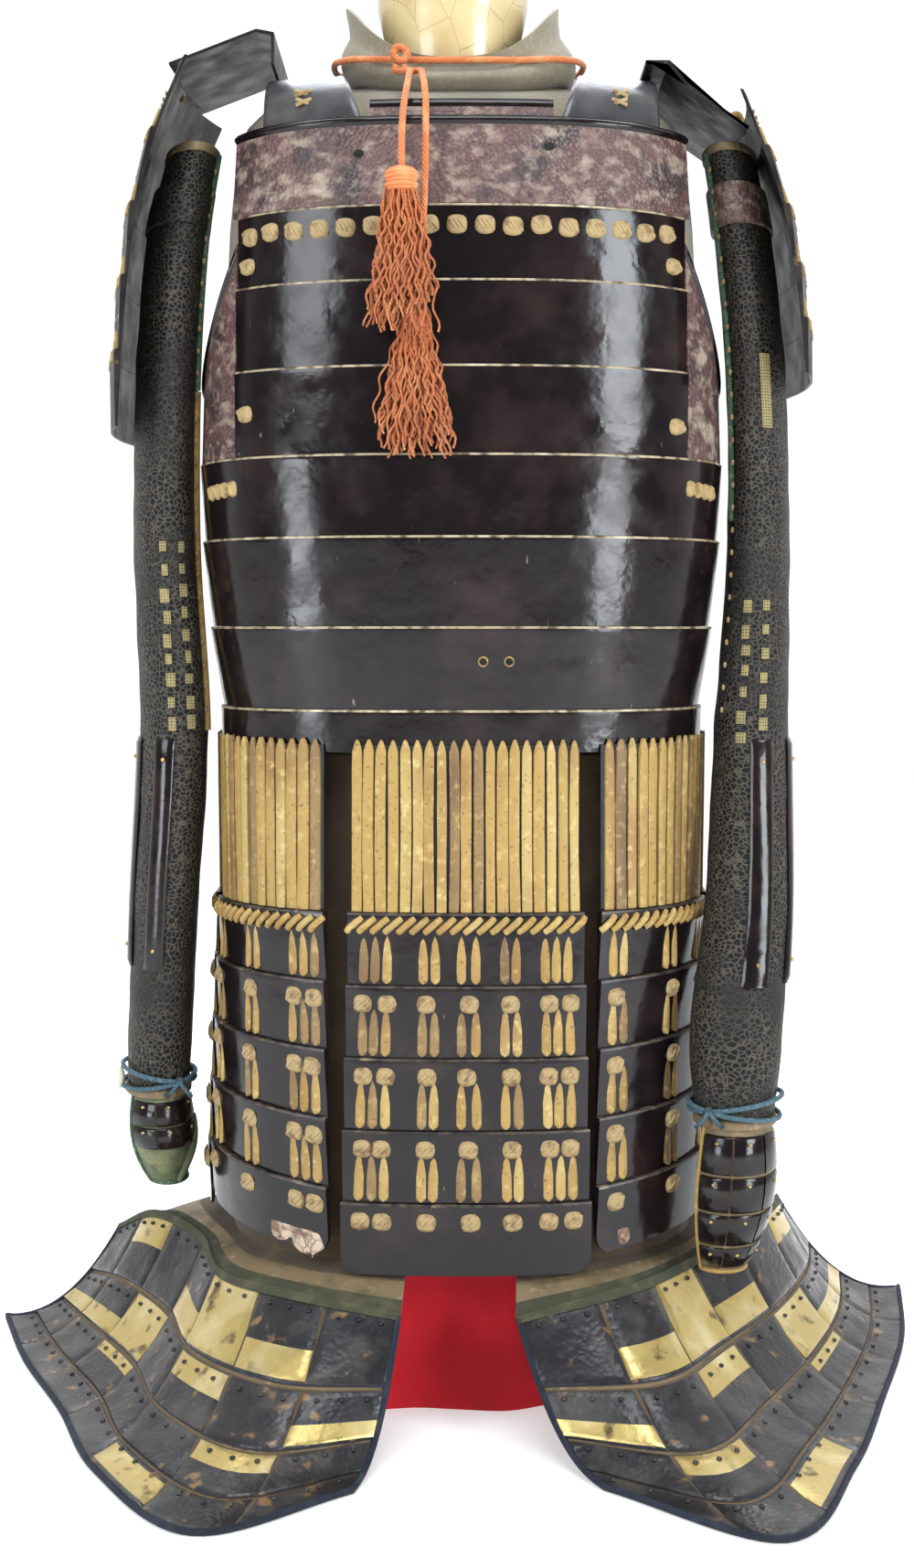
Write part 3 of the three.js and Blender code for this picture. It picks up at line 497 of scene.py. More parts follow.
# A texture lies in the object's own space, or follows the surface where UV or TWIST is its stretch.
UV = ("uv", 1, 1, 1)
TWIST = ("uv", 0.02, 1, 1)
LOOKS = {
    "lacquer": dict(
        colour=(0.007, 0.0045, 0.005), rough=0.18, coat=0.06, vary=0.08, shine=0.34,
        layers=[("noise", 26, 5, (), (0.024, 0.013, 0.013), 0.5, 0.75),
                ("noise", 260, 4, (1, 1, 0.3), (0.15, 0.12, 0.10), 0.735, 0.77)],
        bumps=[("noise", 11, 2, (), 3.0), ("noise", 34, 3, (), 0.9), ("noise", 600, 2, (), 0.03)]),
    "dull_lacquer": dict(
        colour=(0.042, 0.040, 0.043), rough=0.34, vary=0.12,
        layers=[("noise", 40, 5, (), (0.085, 0.078, 0.076), 0.48, 0.75),
                ("noise", 150, 4, (), (0.16, 0.12, 0.08), 0.68, 0.76)],
        bumps=[("noise", 80, 4, (), 0.4)]),
    "guard_lacquer": dict(
        colour=(0.010, 0.008, 0.009), rough=0.46, vary=0.12, shine=0.22,
        layers=[("noise", 40, 5, (), (0.035, 0.028, 0.026), 0.48, 0.75),
                ("noise", 120, 4, (), (0.10, 0.065, 0.035), 0.66, 0.76)],
        bumps=[("noise", 70, 4, (), 0.6)]),
    "gilt_edge": dict(
        colour=(0.36, 0.29, 0.18), rough=0.42, metallic=0.1,
        layers=[("noise", 140, 4, (), (0.08, 0.05, 0.030), 0.46, 0.62),
                ("noise", 60, 2, (), (0.55, 0.48, 0.34), 0.58, 0.75)]),
    "worn_edge": dict(
        colour=(0.055, 0.040, 0.030), rough=0.4,
        layers=[("noise", 120, 4, (), (0.012, 0.010, 0.010), 0.46, 0.58),
                ("noise", 70, 3, (), (0.22, 0.16, 0.10), 0.60, 0.72)]),
    "grained": dict(
        colour=(0.125, 0.066, 0.060), rough=0.5, vary=0.15,
        layers=[("noise", 30, 6, (), (0.055, 0.036, 0.036), 0.5, 0.62),
                ("cracks", 330, 0, (), (0.035, 0.022, 0.02), 0.09, 0.0),
                ("noise", 85, 8, (1, 1, 1.5), (0.27, 0.200, 0.160), 0.50, 0.66),
                ("noise", 26, 9, (1, 1, 1.6), (0.42, 0.34, 0.27), 0.60, 0.72),
                ("noise", 90, 4, (), (0.24, 0.15, 0.12), 0.60, 0.72)],
        bumps=[("cells", 330, 0, (), 1.0), ("noise", 120, 4, (), 0.5)]),
    "strip": strip_look((0.36, 0.228, 0.062), ((0.24, 0.135, 0.036), 0.48, 0.66), (0.46, 0.32, 0.11),
                        (0.18, 0.10, 0.04)),
    "strip_dark": strip_look((0.235, 0.145, 0.050), ((0.15, 0.085, 0.032), 0.48, 0.66), (0.36, 0.25, 0.10),
                             (0.14, 0.08, 0.03)),
    "strip_pale": strip_look((0.42, 0.295, 0.098), ((0.30, 0.18, 0.052), 0.45, 0.62), (0.53, 0.40, 0.16),
                             (0.24, 0.14, 0.05)),
    "knot_leather": dict(
        colour=(0.36, 0.255, 0.115), rough=0.6,
        layers=[("noise", 160, 4, (), (0.17, 0.10, 0.045), 0.5, 0.68)],
        bumps=[("noise", 500, 3, (), 0.3)]),
    "mail": dict(
        colour=(0.005, 0.005, 0.006), rough=0.55, shine=0.2,
        layers=[("cracks", 260, 0, ("uv", 1, 1.15, 1), (0.072, 0.062, 0.047), 0.13, 0.03),
                ("noise", 24, 4, (), (0.020, 0.018, 0.016), 0.45, 0.75)],
        bumps=[("cracks", 260, 0, ("uv", 1, 1.15, 1), -1.0), ("noise", 320, 3, (), 0.3)]),
    "dark_cloth": dict(
        colour=(0.020, 0.021, 0.026), rough=0.85, sheen=0.2,
        layers=[("noise", 60, 4, (), (0.045, 0.042, 0.040), 0.5, 0.7)],
        bumps=weave(500, 0.15)),
    "apron_cloth": dict(
        colour=(0.085, 0.050, 0.022), rough=0.85, sheen=0.15,
        layers=[("noise", 35, 5, (), (0.14, 0.085, 0.035), 0.5, 0.7)],
        bumps=weave(420, 0.2, 0.6) + [("noise", 30, 3, (), 1.2)]),
    "band_leather": dict(
        colour=(0.170, 0.120, 0.060), rough=0.7, vary=0.1,
        layers=[("noise", 50, 5, (), (0.09, 0.060, 0.030), 0.5, 0.68),
                ("noise", 170, 3, (), (0.26, 0.195, 0.105), 0.58, 0.72)],
        bumps=[("noise", 260, 4, (), 0.4)]),
    "green_cloth": dict(
        colour=(0.055, 0.058, 0.030), rough=0.85,
        layers=[("noise", 70, 4, (), (0.105, 0.095, 0.048), 0.5, 0.68)],
        bumps=weave(380, 0.25)),
    "green_leather": dict(
        colour=(0.095, 0.120, 0.060), rough=0.7,
        layers=[("noise", 60, 5, (), (0.20, 0.20, 0.10), 0.48, 0.68),
                ("noise", 110, 4, (), (0.05, 0.06, 0.03), 0.55, 0.7)],
        bumps=[("noise", 70, 4, (), 1.2), ("noise", 300, 3, (), 0.3)]),
    "navy_cloth": dict(
        colour=(0.014, 0.020, 0.040), rough=0.85,
        layers=[("noise", 90, 4, (), (0.035, 0.045, 0.07), 0.5, 0.7)],
        bumps=[("bands_d", 320, 0.5, UV, 0.2)]),
    "apron_plate": dict(
        colour=(0.018, 0.017, 0.019), rough=0.34, vary=0.12, shine=0.36,
        layers=[("noise", 33, 6, (), (0.055, 0.050, 0.047), 0.48, 0.66),
                ("noise", 60, 6, (), (0.20, 0.115, 0.05), 0.63, 0.71)],
        bumps=[("noise", 60, 4, (), 0.8), ("cells", 260, 0, (), 0.25)]),
    "gilt": dict(
        colour=(0.47, 0.355, 0.125), rough=0.33, metallic=0.6, vary=0.1,
        layers=[("noise", 70, 6, (), (0.13, 0.085, 0.035), 0.58, 0.68),
                ("noise", 30, 3, (), (0.62, 0.52, 0.27), 0.50, 0.72)],
        bumps=[("noise", 200, 3, (), 0.3)]),
    "khaki": dict(
        colour=(0.235, 0.205, 0.140), rough=0.95, sheen=0.3,
        layers=[("noise", 300, 5, (), (0.30, 0.27, 0.20), 0.5, 0.7),
                ("noise", 14, 3, (), (0.17, 0.145, 0.095), 0.5, 0.75)],
        bumps=[("noise", 900, 4, (), 0.35), ("noise", 60, 3, (), 0.6)]),
    "red": dict(
        colour=(0.66, 0.010, 0.022), rough=0.7, sheen=0.08, shine=0.25,
        # Darker red clouds: painted shade of folds, laid at random.
        layers=[("noise", 14, 3, (), (0.44, 0.006, 0.014), 0.45, 0.7)],
        bumps=[("noise", 13, 2, (1, 1, 0.7), 14.0), ("noise", 38, 2, (1, 1, 0.6), 2.5),
               *weave(480, 0.12, 0.4)]),
    "ivory": dict(
        colour=(0.66, 0.52, 0.27), rough=0.28, coat=0.5,
        layers=[("noise", 20, 4, (), (0.52, 0.37, 0.17), 0.48, 0.72),
                ("cracks", 52, 0, (1, 1, 0.6), (0.30, 0.19, 0.08), 0.012, 0.0),
                ("noise", 10, 2, (), (0.78, 0.68, 0.44), 0.55, 0.8)],
        bumps=[("cracks", 75, 0, (1, 1, 0.7), 0.15)]),
    "silk": dict(
        colour=(0.80, 0.235, 0.065), rough=0.6, sheen=0.1,
        # Darker bands in the grooves of the twist: painted shade.
        layers=[("bands_d", 210, 0.3, TWIST, (0.52, 0.110, 0.028), 0.4, 0.05),
                # Paler orange clouds: painted highlights on the silk.
                ("noise", 60, 3, (), (0.88, 0.35, 0.13), 0.5, 0.75)],
        bumps=[("bands_d", 210, 0.3, TWIST, 0.6)]),
    "blue_cord": dict(
        colour=(0.055, 0.115, 0.150), rough=0.7,
        layers=[("noise", 400, 3, (), (0.13, 0.21, 0.25), 0.5, 0.7)],
        bumps=[("bands_d", 260, 0.3, TWIST, 0.5)]),
    "green_cord": dict(
        colour=(0.060, 0.120, 0.066), rough=0.7,
        layers=[("noise", 260, 3, (), (0.16, 0.24, 0.15), 0.52, 0.7)],
        bumps=[("bands_v", 160, 0.5, UV, 0.5)]),
    "window": dict(
        colour=(0.29, 0.235, 0.10), rough=0.8,
        layers=[("grid", 480, 0, UV, (0.09, 0.075, 0.03), 0.36, 0.5),
                ("noise", 120, 3, (), (0.30, 0.24, 0.09), 0.5, 0.7)],
        bumps=[("grid", 480, 0, UV, -0.4)]),
    "pale": dict(
        colour=(0.72, 0.69, 0.60), rough=0.4,
        layers=[("noise", 120, 3, (), (0.52, 0.46, 0.36), 0.55, 0.75)],
        bumps=[("noise", 300, 3, (), 0.1)]),
    "bare_leather": dict(
        colour=(0.52, 0.40, 0.30), rough=0.8,
        layers=[("noise", 90, 6, (), (0.20, 0.12, 0.08), 0.52, 0.62),
                ("cracks", 120, 0, (), (0.10, 0.06, 0.04), 0.05, 0.0)],
        bumps=[("noise", 120, 5, (), 0.8)]),
    "brass": dict(
        colour=(0.50, 0.36, 0.14), rough=0.35, metallic=0.9,
        layers=[("noise", 200, 3, (), (0.20, 0.13, 0.06), 0.5, 0.7)],
        bumps=[("noise", 400, 3, (), 0.1)]),
    # Near-black lumps where holes are: painted shade.
    "hole_shade": dict(
        colour=(0.004, 0.004, 0.004), rough=0.9,
        layers=[("noise", 200, 2, (), (0.012, 0.010, 0.009), 0.5, 0.7)]),
}
MATERIALS = {name: make_material(name, **look) for name, look in LOOKS.items()}


# The orange cord and its tassels.
COLLAR = {"lift": 1.4, "height": 56, "dip": 34, "foot": 76, "foot_depth": 60, "bulge": 8, "top": 74,
          "top_depth": 60}
NECK_X = -6
CORD_RADIUS = 2.2


def form_top(x, y):
    """The height of the form's shoulders under a point."""
    low, high = 850.0, FORM[-1][0]
    for _ in range(24):
        middle = (low + high) / 2
        half_width, front, back = section_at(FORM, middle)
        reach = front if y < 0 else back
        if (abs(x) / half_width) ** BODY_POWER + (abs(y) / reach) ** BODY_POWER > 1:
            high = middle
        else:
            low = middle
    return high


def collar_point(turn, share, out):
    swell = COLLAR["bulge"] * math.sin(math.pi * min(1, share * 1.6))
    depth = mix(COLLAR["foot_depth"], COLLAR["top_depth"], share) + swell
    section = (mix(COLLAR["foot"], COLLAR["top"], share) + swell, depth, depth)
    foot = ring_point((COLLAR["foot"], COLLAR["foot_depth"], COLLAR["foot_depth"]), turn, 0)
    dip = COLLAR["dip"] * max(0.0, math.cos(math.radians(turn))) ** 2
    point = ring_point(section, turn, 0, out)
    point.x += NECK_X * share
    point.z = form_top(foot.x, foot.y) + COLLAR["lift"] + share * (COLLAR["height"] - dip)
    return point


KNOT_TURN, KNOT_OUT = -19, 11.6
KNOT = collar_point(KNOT_TURN, 0.8, KNOT_OUT)
# Each hanging end: how far it starts beside the knot's middle, and the points of its route.
TASSEL_CORDS = {
    "upper": (-3.2, [(-34, -92, 893), (-34, -108, 888), (-35, -126, 876), (-37, -142, 858),
                     (-38, -152, 838), (-38, -158, 816.6)]),
    "lower": (3.2, [(-27, -92, 893), (-26, -109, 887), (-24, -128, 874), (-23, -137.5, 855),
                    (-24, -139.5, 800), (-28, -144.5, 736.6)]),
}
TASSELS = {
    "upper": {"x": -38, "y": -158, "foot_y": -164, "top": 816, "radius": 11, "height": 15, "foot": 712,
              "spread": 25, "depth": 8},
    "lower": {"x": -30, "y": -144.5, "foot_y": -152, "top": 736, "radius": 7, "height": 13, "foot": 634,
              "spread": 29, "depth": 7},
}
TASSEL_CORE = 36
STRANDS = 110
GOLDEN_TURN = 2.39996


def route_length(path):
    return sum((b - a).length for a, b in zip(path, path[1:])) * MM


def tassel_rings(data):
    """The head, bound with thread: shares of its radius, and how far each lies below the top."""
    profile = [(0.45, 0), (0.75, 1.2), (0.92, 3), (1.0, 6), (0.86, 9), (0.98, 11), (0.9, 13),
               (0.8, data["height"])]
    radius = data["radius"]
    return [[Vector((data["x"] + radius * share * math.cos(a), data["y"] + radius * share * math.sin(a),
                     data["top"] - drop)) for a in circle(24)] for share, drop in profile]


def tassel_strand(data, i):
    """One crimped strand, from inside the head to the tassel's foot."""
    ring = math.sqrt((i + 0.5) / STRANDS)
    turn = i * GOLDEN_TURN
    swing = chance.uniform(-1.5, 1.5)
    tip = data["foot"] + chance.uniform(0, 26)
    crimp = chance.uniform(22, 34)
    strand = []
    for share in spread(0, 1, 26):
        wide = mix(data["radius"] * 0.78, data["spread"] * 0.94, share ** 0.8)
        deep = mix(data["radius"] * 0.78, data["depth"] * 0.9, share)
        wave = 1.5 * min(1, share * 3)
        strand.append(Vector((
            data["x"] + math.cos(turn) * ring * wide + 2 * swing * math.sin(share * 4 + i)
            + wave * math.sin(share * crimp + i * 1.7),
            mix(data["y"], data["foot_y"], share) + math.sin(turn) * ring * deep
            + wave * 0.7 * math.cos(share * crimp + i),
            mix(data["top"] - data["height"] + 2, tip, share))))
    return strand


for name, (start_x, route) in TASSEL_CORDS.items():
    start = KNOT + Vector((start_x, 0, -7.3))
    stations = [start, start + Vector((0, -1.5, -4))] + [Vector(p) for p in route]
    # Inside its tassel the cord runs on as the tassel's core.
    path = [catmull(stations, share) for share in spread(0, 1, 40)]
    path += [path[-1] + Vector((0, -0.05, -1)) * drop for drop in (12, 24, TASSEL_CORE)]
    piece = Piece(f"hanging_cord_{name}", ["silk"], "silk", [f"tassel_cord_{name}"])
    piece.tube(path, CORD_RADIUS, "silk", sides=12)
    cord_object = piece.make(sharp=80)

    data = TASSELS[name]
    tassel = Piece(f"silk_tassel_{name}", ["silk"], "silk", [f"tassel_{name}"])
    tassel.solid(tassel_rings(data), "silk")
    for i in range(STRANDS):
        tassel.tube(tassel_strand(data, i), lambda s: 0.85 - 0.15 * s, "silk", sides=4)
    tassel_object = tassel.make(sharp=80)
    route_length(path)

# The loop round the collar is one cord, tied in front.
loop = []
for turn in spread(KNOT_TURN + 1, KNOT_TURN + 359, 24):
    foot, rim = collar_point(turn, 0, 0), collar_point(turn, 1, 0)
    z = mix(908, 929, (1 - math.cos(math.radians(turn))) / 2)
    share = clamp((z - foot.z) / (rim.z - foot.z), 0.1, 0.85)
    loop.append(collar_point(turn, share, CORD_RADIUS + 1.9))
neck_cord = Piece("neck_cord_loop", ["silk"], "silk", ["neck_cord"])
loop_path = [catmull(loop, share) for share in spread(0, 1, 140)]
neck_cord.tube(loop_path, CORD_RADIUS, "silk", sides=12)
neck_cord_object = neck_cord.make(sharp=80)

knot = Piece("tied_knot", ["silk"], "silk", ["cord_knot"])
for tilt, size in ((20, 1.0), (-35, 0.92), (85, 0.85)):
    turned = Matrix.Rotation(math.radians(tilt), 3, "Y")
    ring = [KNOT + turned @ Vector((5.2 * size * math.cos(a), 2.4 * math.sin(2 * a),
                                    4.2 * size * math.sin(a))) for a in spread(0, 2 * math.pi, 28)[:-1]]
    knot.tube(ring, 2.1, "silk", sides=8, closed=True)
knot_object = knot.make(sharp=80)
route_length(loop_path)


# The dress form.
# The neck's radius and height, from its top down.
NECK_PROFILE = [(10, 990), (24, 989.8), (38, 987.5), (44, 985.5), (49, 981), (52, 975), (53, 966),
                (52.6, 958), (50.4, 947), (48, 937), (46.6, 925), (46, 913), (46, 901.2)]
neck = Piece("ivory_neck", ["ivory"], "ivory", ["form_neck"])
neck.solid([[Vector((NECK_X + r * math.cos(a), r * math.sin(a), z)) for a in circle(56)]
            for r, z in NECK_PROFILE], "ivory")
neck.make()

collar = Piece("standing_collar", ["khaki"], "form_cloth", ["form_collar"])
collar_turns = spread(-176, 176, 88)


def collar_skin(turn, share, out):
    fold = 1.2 * noise(Vector((turn / 26, share * 1.5, 3.0))) - 1.0
    lip = 1.6 * max(0.0, share - 0.8) / 0.2
    return collar_point(turn, share, out + fold + lip)


collar.panel(collar_skin, collar_turns, spread(1, 0, 14), lambda u, v: -2.6, lambda u, v: 0.0, "khaki")
collar_object = collar.make(sharp=60)

body = Piece("padded_body", ["khaki"], "form_cloth", ["form_body"])
body_levels = [900.6, 899, 896, 891, 886, 879, 872, 861, 850, 825, 800, 750, 700, 630, 560, 505, 450, 390,
               330, 260, 190.3]
body_turns = [i * 5 for i in range(72)]
body.solid([[ring_point(section_at(FORM, z), t, z, -0.2) for t in body_turns] for z in body_levels], "khaki")
body.make(sharp=70)

stand = Piece("red_covered_stand", ["red"], "red_cloth", ["form_stand"])
STAND = {"height": 190, "half_width": 150, "depth": 134, "top_share": 0.93,
         "gathers": 14, "gather_depth": 3.5}


def stand_point(turn, z, out):
    share = 1 - z / STAND["height"]
    gather = STAND["gather_depth"] * share ** 2 * math.sin(math.radians(turn * STAND["gathers"]))
    fold = gather + 1.3 * noise(Vector((turn / 14, z / 60, 0.5)))
    crease = 0.9 * math.sin(z / 9 + 2.5 * noise(Vector((turn / 20, 0, 7.7)))) * max(0.0, 1 - z / 60)
    size = mix(STAND["top_share"], 1.0, share)
    section = (STAND["half_width"] * size, STAND["depth"] * size, STAND["depth"] * size)
    return ring_point(section, turn, z, fold + crease * 0.7 - 1.2 + out)


stand_levels = [STAND["height"], 188, 170, 140, 110, 80, 60, 45, 32, 22, 14, 8, 4, 0]
# The cover closes over the top, so the wall is thick there.
stand.panel(stand_point, [i * 2 for i in range(180)], stand_levels,
            lambda u, v: -20 if v < 189 else -130, lambda u, v: 0.0 if v > 1 else -1.0, "red", wraps=True)
stand.make(sharp=60)


# The cuirass.
def rolled(top, lip, bottom):
    """The outer offset of a lame: its upper edge is proud and rounded, its foot is flush."""
    def offset(u, z):
        down = top - z
        slope = lip * max(0.0, 1 - down / (top - bottom))
        return slope - (0.55 if down < 0.05 else 0.15 if down < 0.6 else 0)
    return offset


def add_lame(piece, surface, us, top, bottom, lip, thickness=LAME_WALL, face="lacquer", edge="gilt_edge"):
    levels = [top, top - 0.5, top - 1.5, top - 4, mix(top, bottom, 0.25), mix(top, bottom, 0.5),
              mix(top, bottom, 0.75), bottom + 1, bottom]
    piece.panel(surface, us, levels, lambda u, z: -thickness, rolled(top, lip, bottom), face, rim=edge,
                pick=lambda r, c: edge if r < 2 else face)


# The upper three lames end at the armholes, and the others reach the side seams.
ARMHOLE_LAMES, FRONT_HALF = 3, 160
LAME_SPANS = [(top, below + SEAM) for top, below in zip(LAME_TOPS, LAME_TOPS[1:])]
LAME_SPANS.append((LAME_TOPS[-1], LAME_FLOOR))
for i, (top, bottom) in enumerate(LAME_SPANS):
    piece = Piece(f"chest_lame_{i + 1}", ["lacquer"], "lacquer", [f"front_lame_{i + 1}"])
    if i < ARMHOLE_LAMES:
        add_lame(piece, cuirass, spread(-FRONT_HALF, FRONT_HALF, 60), top, bottom, LAME_LIP)
    else:
        to_seam = lambda u, z, out: cuirass(u * half_length(z), z, out)
        add_lame(piece, to_seam, spread(-1, 1, 90), top, bottom, LAME_LIP)
    piece.make()

# Crossed knots, each as its place round the body, its height and half its width. The tassels
# hide the gap in the row.
KNOT_ROW = [(x, 785, 6.8) for x in range(-147, 152, 18) if not -52 < x < -25]
SIDE_KNOT_PLACES = [(-149, 764, 6), (-150, 668, 6), (147, 764, 6), (149, 660, 6)]
KNOT_LIFT = LAME_LIP * 0.55 + 0.1
knots = Piece("crossed_leather_knots", ["knot_leather"], "smoked_leather")
for u, z, size in KNOT_ROW + SIDE_KNOT_PLACES:
    z += chance.uniform(-1, 1)
    turn = chance.uniform(-8, 8)
    knots.patch(cuirass, (u, z), (size, size * 0.93), turn, KNOT_LIFT, 2.6, "knot_leather", cells=8,
                square=0.4)
    for shift in (-2.6, 0.3, 3.1):
        knots.patch(cuirass, (u + shift, z), (size * 0.72, 1.5), -52 + turn, KNOT_LIFT + 1.6, 1.8,
                    "knot_leather", cells=6)
# A row of four at each side of the fourth lame.
for sign in (-1, 1):
    for step in range(4):
        u, z = sign * (163 + step * 9.5), 619 - step * 0.5
        knots.patch(cuirass, (u, z), (4.6, 5.6), 0, 1.2, 2.2, "knot_leather", cells=8, square=0.4)
        knots.patch(cuirass, (u, z), (1.6, 5.2), 30, 2.4, 1.8, "strip_pale", cells=8, square=0.4)
knots.make(sharp=70)

# Two brass eyelets low on the front, and two bare holes in the chest plate. The plate is not pierced: a
# near-black lump in each eyelet and hole is painted shade.
BRASS_EYELETS = ((14, 504), (31, 504))
BARE_HOLES = ((-66, 832), (56, 836))
holes = Piece("eyelets", ["brass", "hole_shade"], "lacquer")
for u, z in BRASS_EYELETS:
    centre = cuirass(u, z, 1.1)
    ring = [centre + Vector((3.0 * math.cos(a), -0.3, 3.0 * math.sin(a)))
            for a in spread(0, 2 * math.pi, 20)[:-1]]
    holes.tube(ring, 0.8, "brass", sides=6, closed=True)
    holes.ball(centre, (2.6, 0.5, 2.6), "hole_shade")
for u, z in BARE_HOLES:
    holes.ball(cuirass(u, z, 2.0), (3.4, 0.7, 2.6), "hole_shade")
holes.make(sharp=60)

# The chest plate, the throat plate and the back plate are faced with grained leather.
CHEST_TOP, BACK_TOP, PLATE_FOOT = 856, 868, 799.3
THROAT_TOP, THROAT_FOOT, THROAT_LEAN = 870, 848, 0.45
PLATE_RIM = 6


def rim_offset(top, rim, face):
    """A rounded roll along the upper edge, over a flat face."""
    def offset(u, z):
        down = top - z
        if down > PLATE_RIM:
            return face
        return rim * math.sin(math.pi * clamp(down / PLATE_RIM, 0.08, 0.92)) ** 0.5
    return offset


def rimmed_plate(name, nodes, surface, us, top, foot, rim, face):
    piece = Piece(name, ["grained"], "grained_leather", nodes)
    levels = [top - down for down in (0, 0.5, 1.4, 2.6, 4, 5.2, 5.9, 6.2)] + spread(top - 8, foot, 10)
    piece.panel(surface, us, levels, lambda u, z: -LAME_WALL, rim_offset(top, rim, face), "grained",
                rim="lacquer", pick=lambda r, c: "lacquer" if r < 6 else "grained")
    return piece.make()


rimmed_plate("chest_top_plate", ["chest_plate"], cuirass, spread(-168, 168, 70), CHEST_TOP, PLATE_FOOT,
             3.4, 1.6)

# The back is worked out as a front whose reaches are changed over, and then turned round.
turned_front = along("back", [(z, half_width, back, front) for z, half_width, front, back in CUIRASS])


def back_surface(u, z, out):
    point = turned_front(u, z, out)
    return Vector((-point.x, -point.y, point.z))


rimmed_plate("back_top_plate", ["back_plate"], back_surface, spread(-160, 160, 64), BACK_TOP, PLATE_FOOT,
             3.4, 1.6)


def throat_surface(x, z, out):
    half_width, front, _ = section_at(CUIRASS, THROAT_FOOT)
    reach = (front - 3.7) * (1 - (abs(x) / half_width) ** BODY_POWER) ** (1 / BODY_POWER)
    return Vector((x, -(reach - (z - THROAT_FOOT) * THROAT_LEAN + out), z))


rimmed_plate("throat_top_plate", ["throat_plate"], throat_surface, spread(-60, 60, 30), THROAT_TOP,
             THROAT_FOOT, 2.2, 0.8)

# How much of the way to the side seams the back reaches, by height.
BACK_SHARES = [(640, 1.0), (690, 0.93), (730, 0.80), (775, 0.72), (802, 0.70)]


def back_lame_surface(u, z, out):
    return back_surface(u * section_at(BACK_SHARES, z)[0] * (half_length(z) - 1), z, out)


back = Piece("back_lames_riveted", ["lacquer"], "lacquer", ["back_lames"])
for top, bottom in LAME_SPANS:
    add_lame(back, back_lame_surface, spread(-1, 1, 80), top, bottom, LAME_LIP)
back.make()

# The armpit plates start beside the upper lames, and their rolled edge falls to the side seam.
ARMPIT = {"front": 161, "top": 782, "seam_top": 690, "foot": 639.3}
ARMPIT_ROWS = [0, 0.01, 0.025, 0.04, 0.055, 0.065, 0.12, 0.3, 0.5, 0.75, 1]
for side, sign in SIDE.items():
    piece = Piece(f"armpit_leather_plate_{side}", ["grained"], "grained_leather", [f"armpit_plate_{side}"])

    def armpit(share, down, out, sign=sign):
        top = mix(ARMPIT["top"], ARMPIT["seam_top"], math.sin(share * math.pi / 2))
        z = mix(top, ARMPIT["foot"], down)
        return cuirass(sign * mix(ARMPIT["front"], half_length(z) - 1, share), z, out)

    rim = lambda u, v: 3.0 * math.sin(math.pi * clamp(v / 0.065, 0.1, 0.9)) ** 0.5 if v < 0.06 else 1.0
    piece.panel(armpit, spread(0, 1, 24), ARMPIT_ROWS, lambda u, v: -LAME_WALL, rim, "grained",
                rim="lacquer", pick=lambda r, c: "lacquer" if r < 5 else "grained")
    piece.make()


# Shoulder straps, wings and guards.
STRAP = {"foot": 846, "rise": 57.3, "inner": 62, "inner_top": 80, "outer": 132, "tuck": 5}


def strap_surface(sign):
    """A strap over the shoulder: across it from the neck outwards, and along it from front to back."""
    def point(across, run, out):
        angle = math.pi * run
        lift = math.sin(angle) ** 0.8 if 0 < run < 1 else 0.0
        z = STRAP["foot"] + (STRAP["rise"] + out) * lift
        half_width, front, back = section_at(CUIRASS, z)
        x = mix(mix(STRAP["inner"], STRAP["inner_top"], lift), STRAP["outer"], across)
        narrow = (1 - (x / half_width) ** BODY_POWER) ** (1 / BODY_POWER)
        reach = (front if math.cos(angle) > 0 else back) - STRAP["tuck"]
        return Vector((sign * x, -powered(math.cos(angle), 0.8) * (reach * narrow + out), z))
    return point


# Each wing's section, as distance out and height: its upper face outwards, then its lower face back.
WINGS = {
    "left": [(126, 903.75), (126, 925), (138, 927.2), (197, 907),
             (196.5, 905), (138, 925), (128, 923), (128, 903.75)],
    "right": [(124, 903.75), (124, 906.6), (140, 906.6), (152, 894),
              (194, 865), (193, 863), (151, 892), (139, 903.75)],
}
WING_DEPTHS = [-68, -67, -64, -40, 0, 40, 64, 67, 68]
WING_DROOP_FROM = 140
# The leather thong from which each guard hangs, as distance out and height.
THONGS = {
    "left": [(184, 913.1), (190, 913.5), (198, 909), (197.2, 896)],
    "right": [(184, 873.1), (189, 884), (196, 887), (201, 874)],
}
STRAP_EDGE = {0: -0.6, 0.02: 0.3, 0.06: 0.6, 0.12: 0.0, 0.3: 0.0, 0.5: 0.0, 0.7: 0.0, 0.88: 0.0, 0.94: 0.6,
              0.98: 0.3, 1: -0.6}
STRAP_STITCHES = (0.115, 0.16)
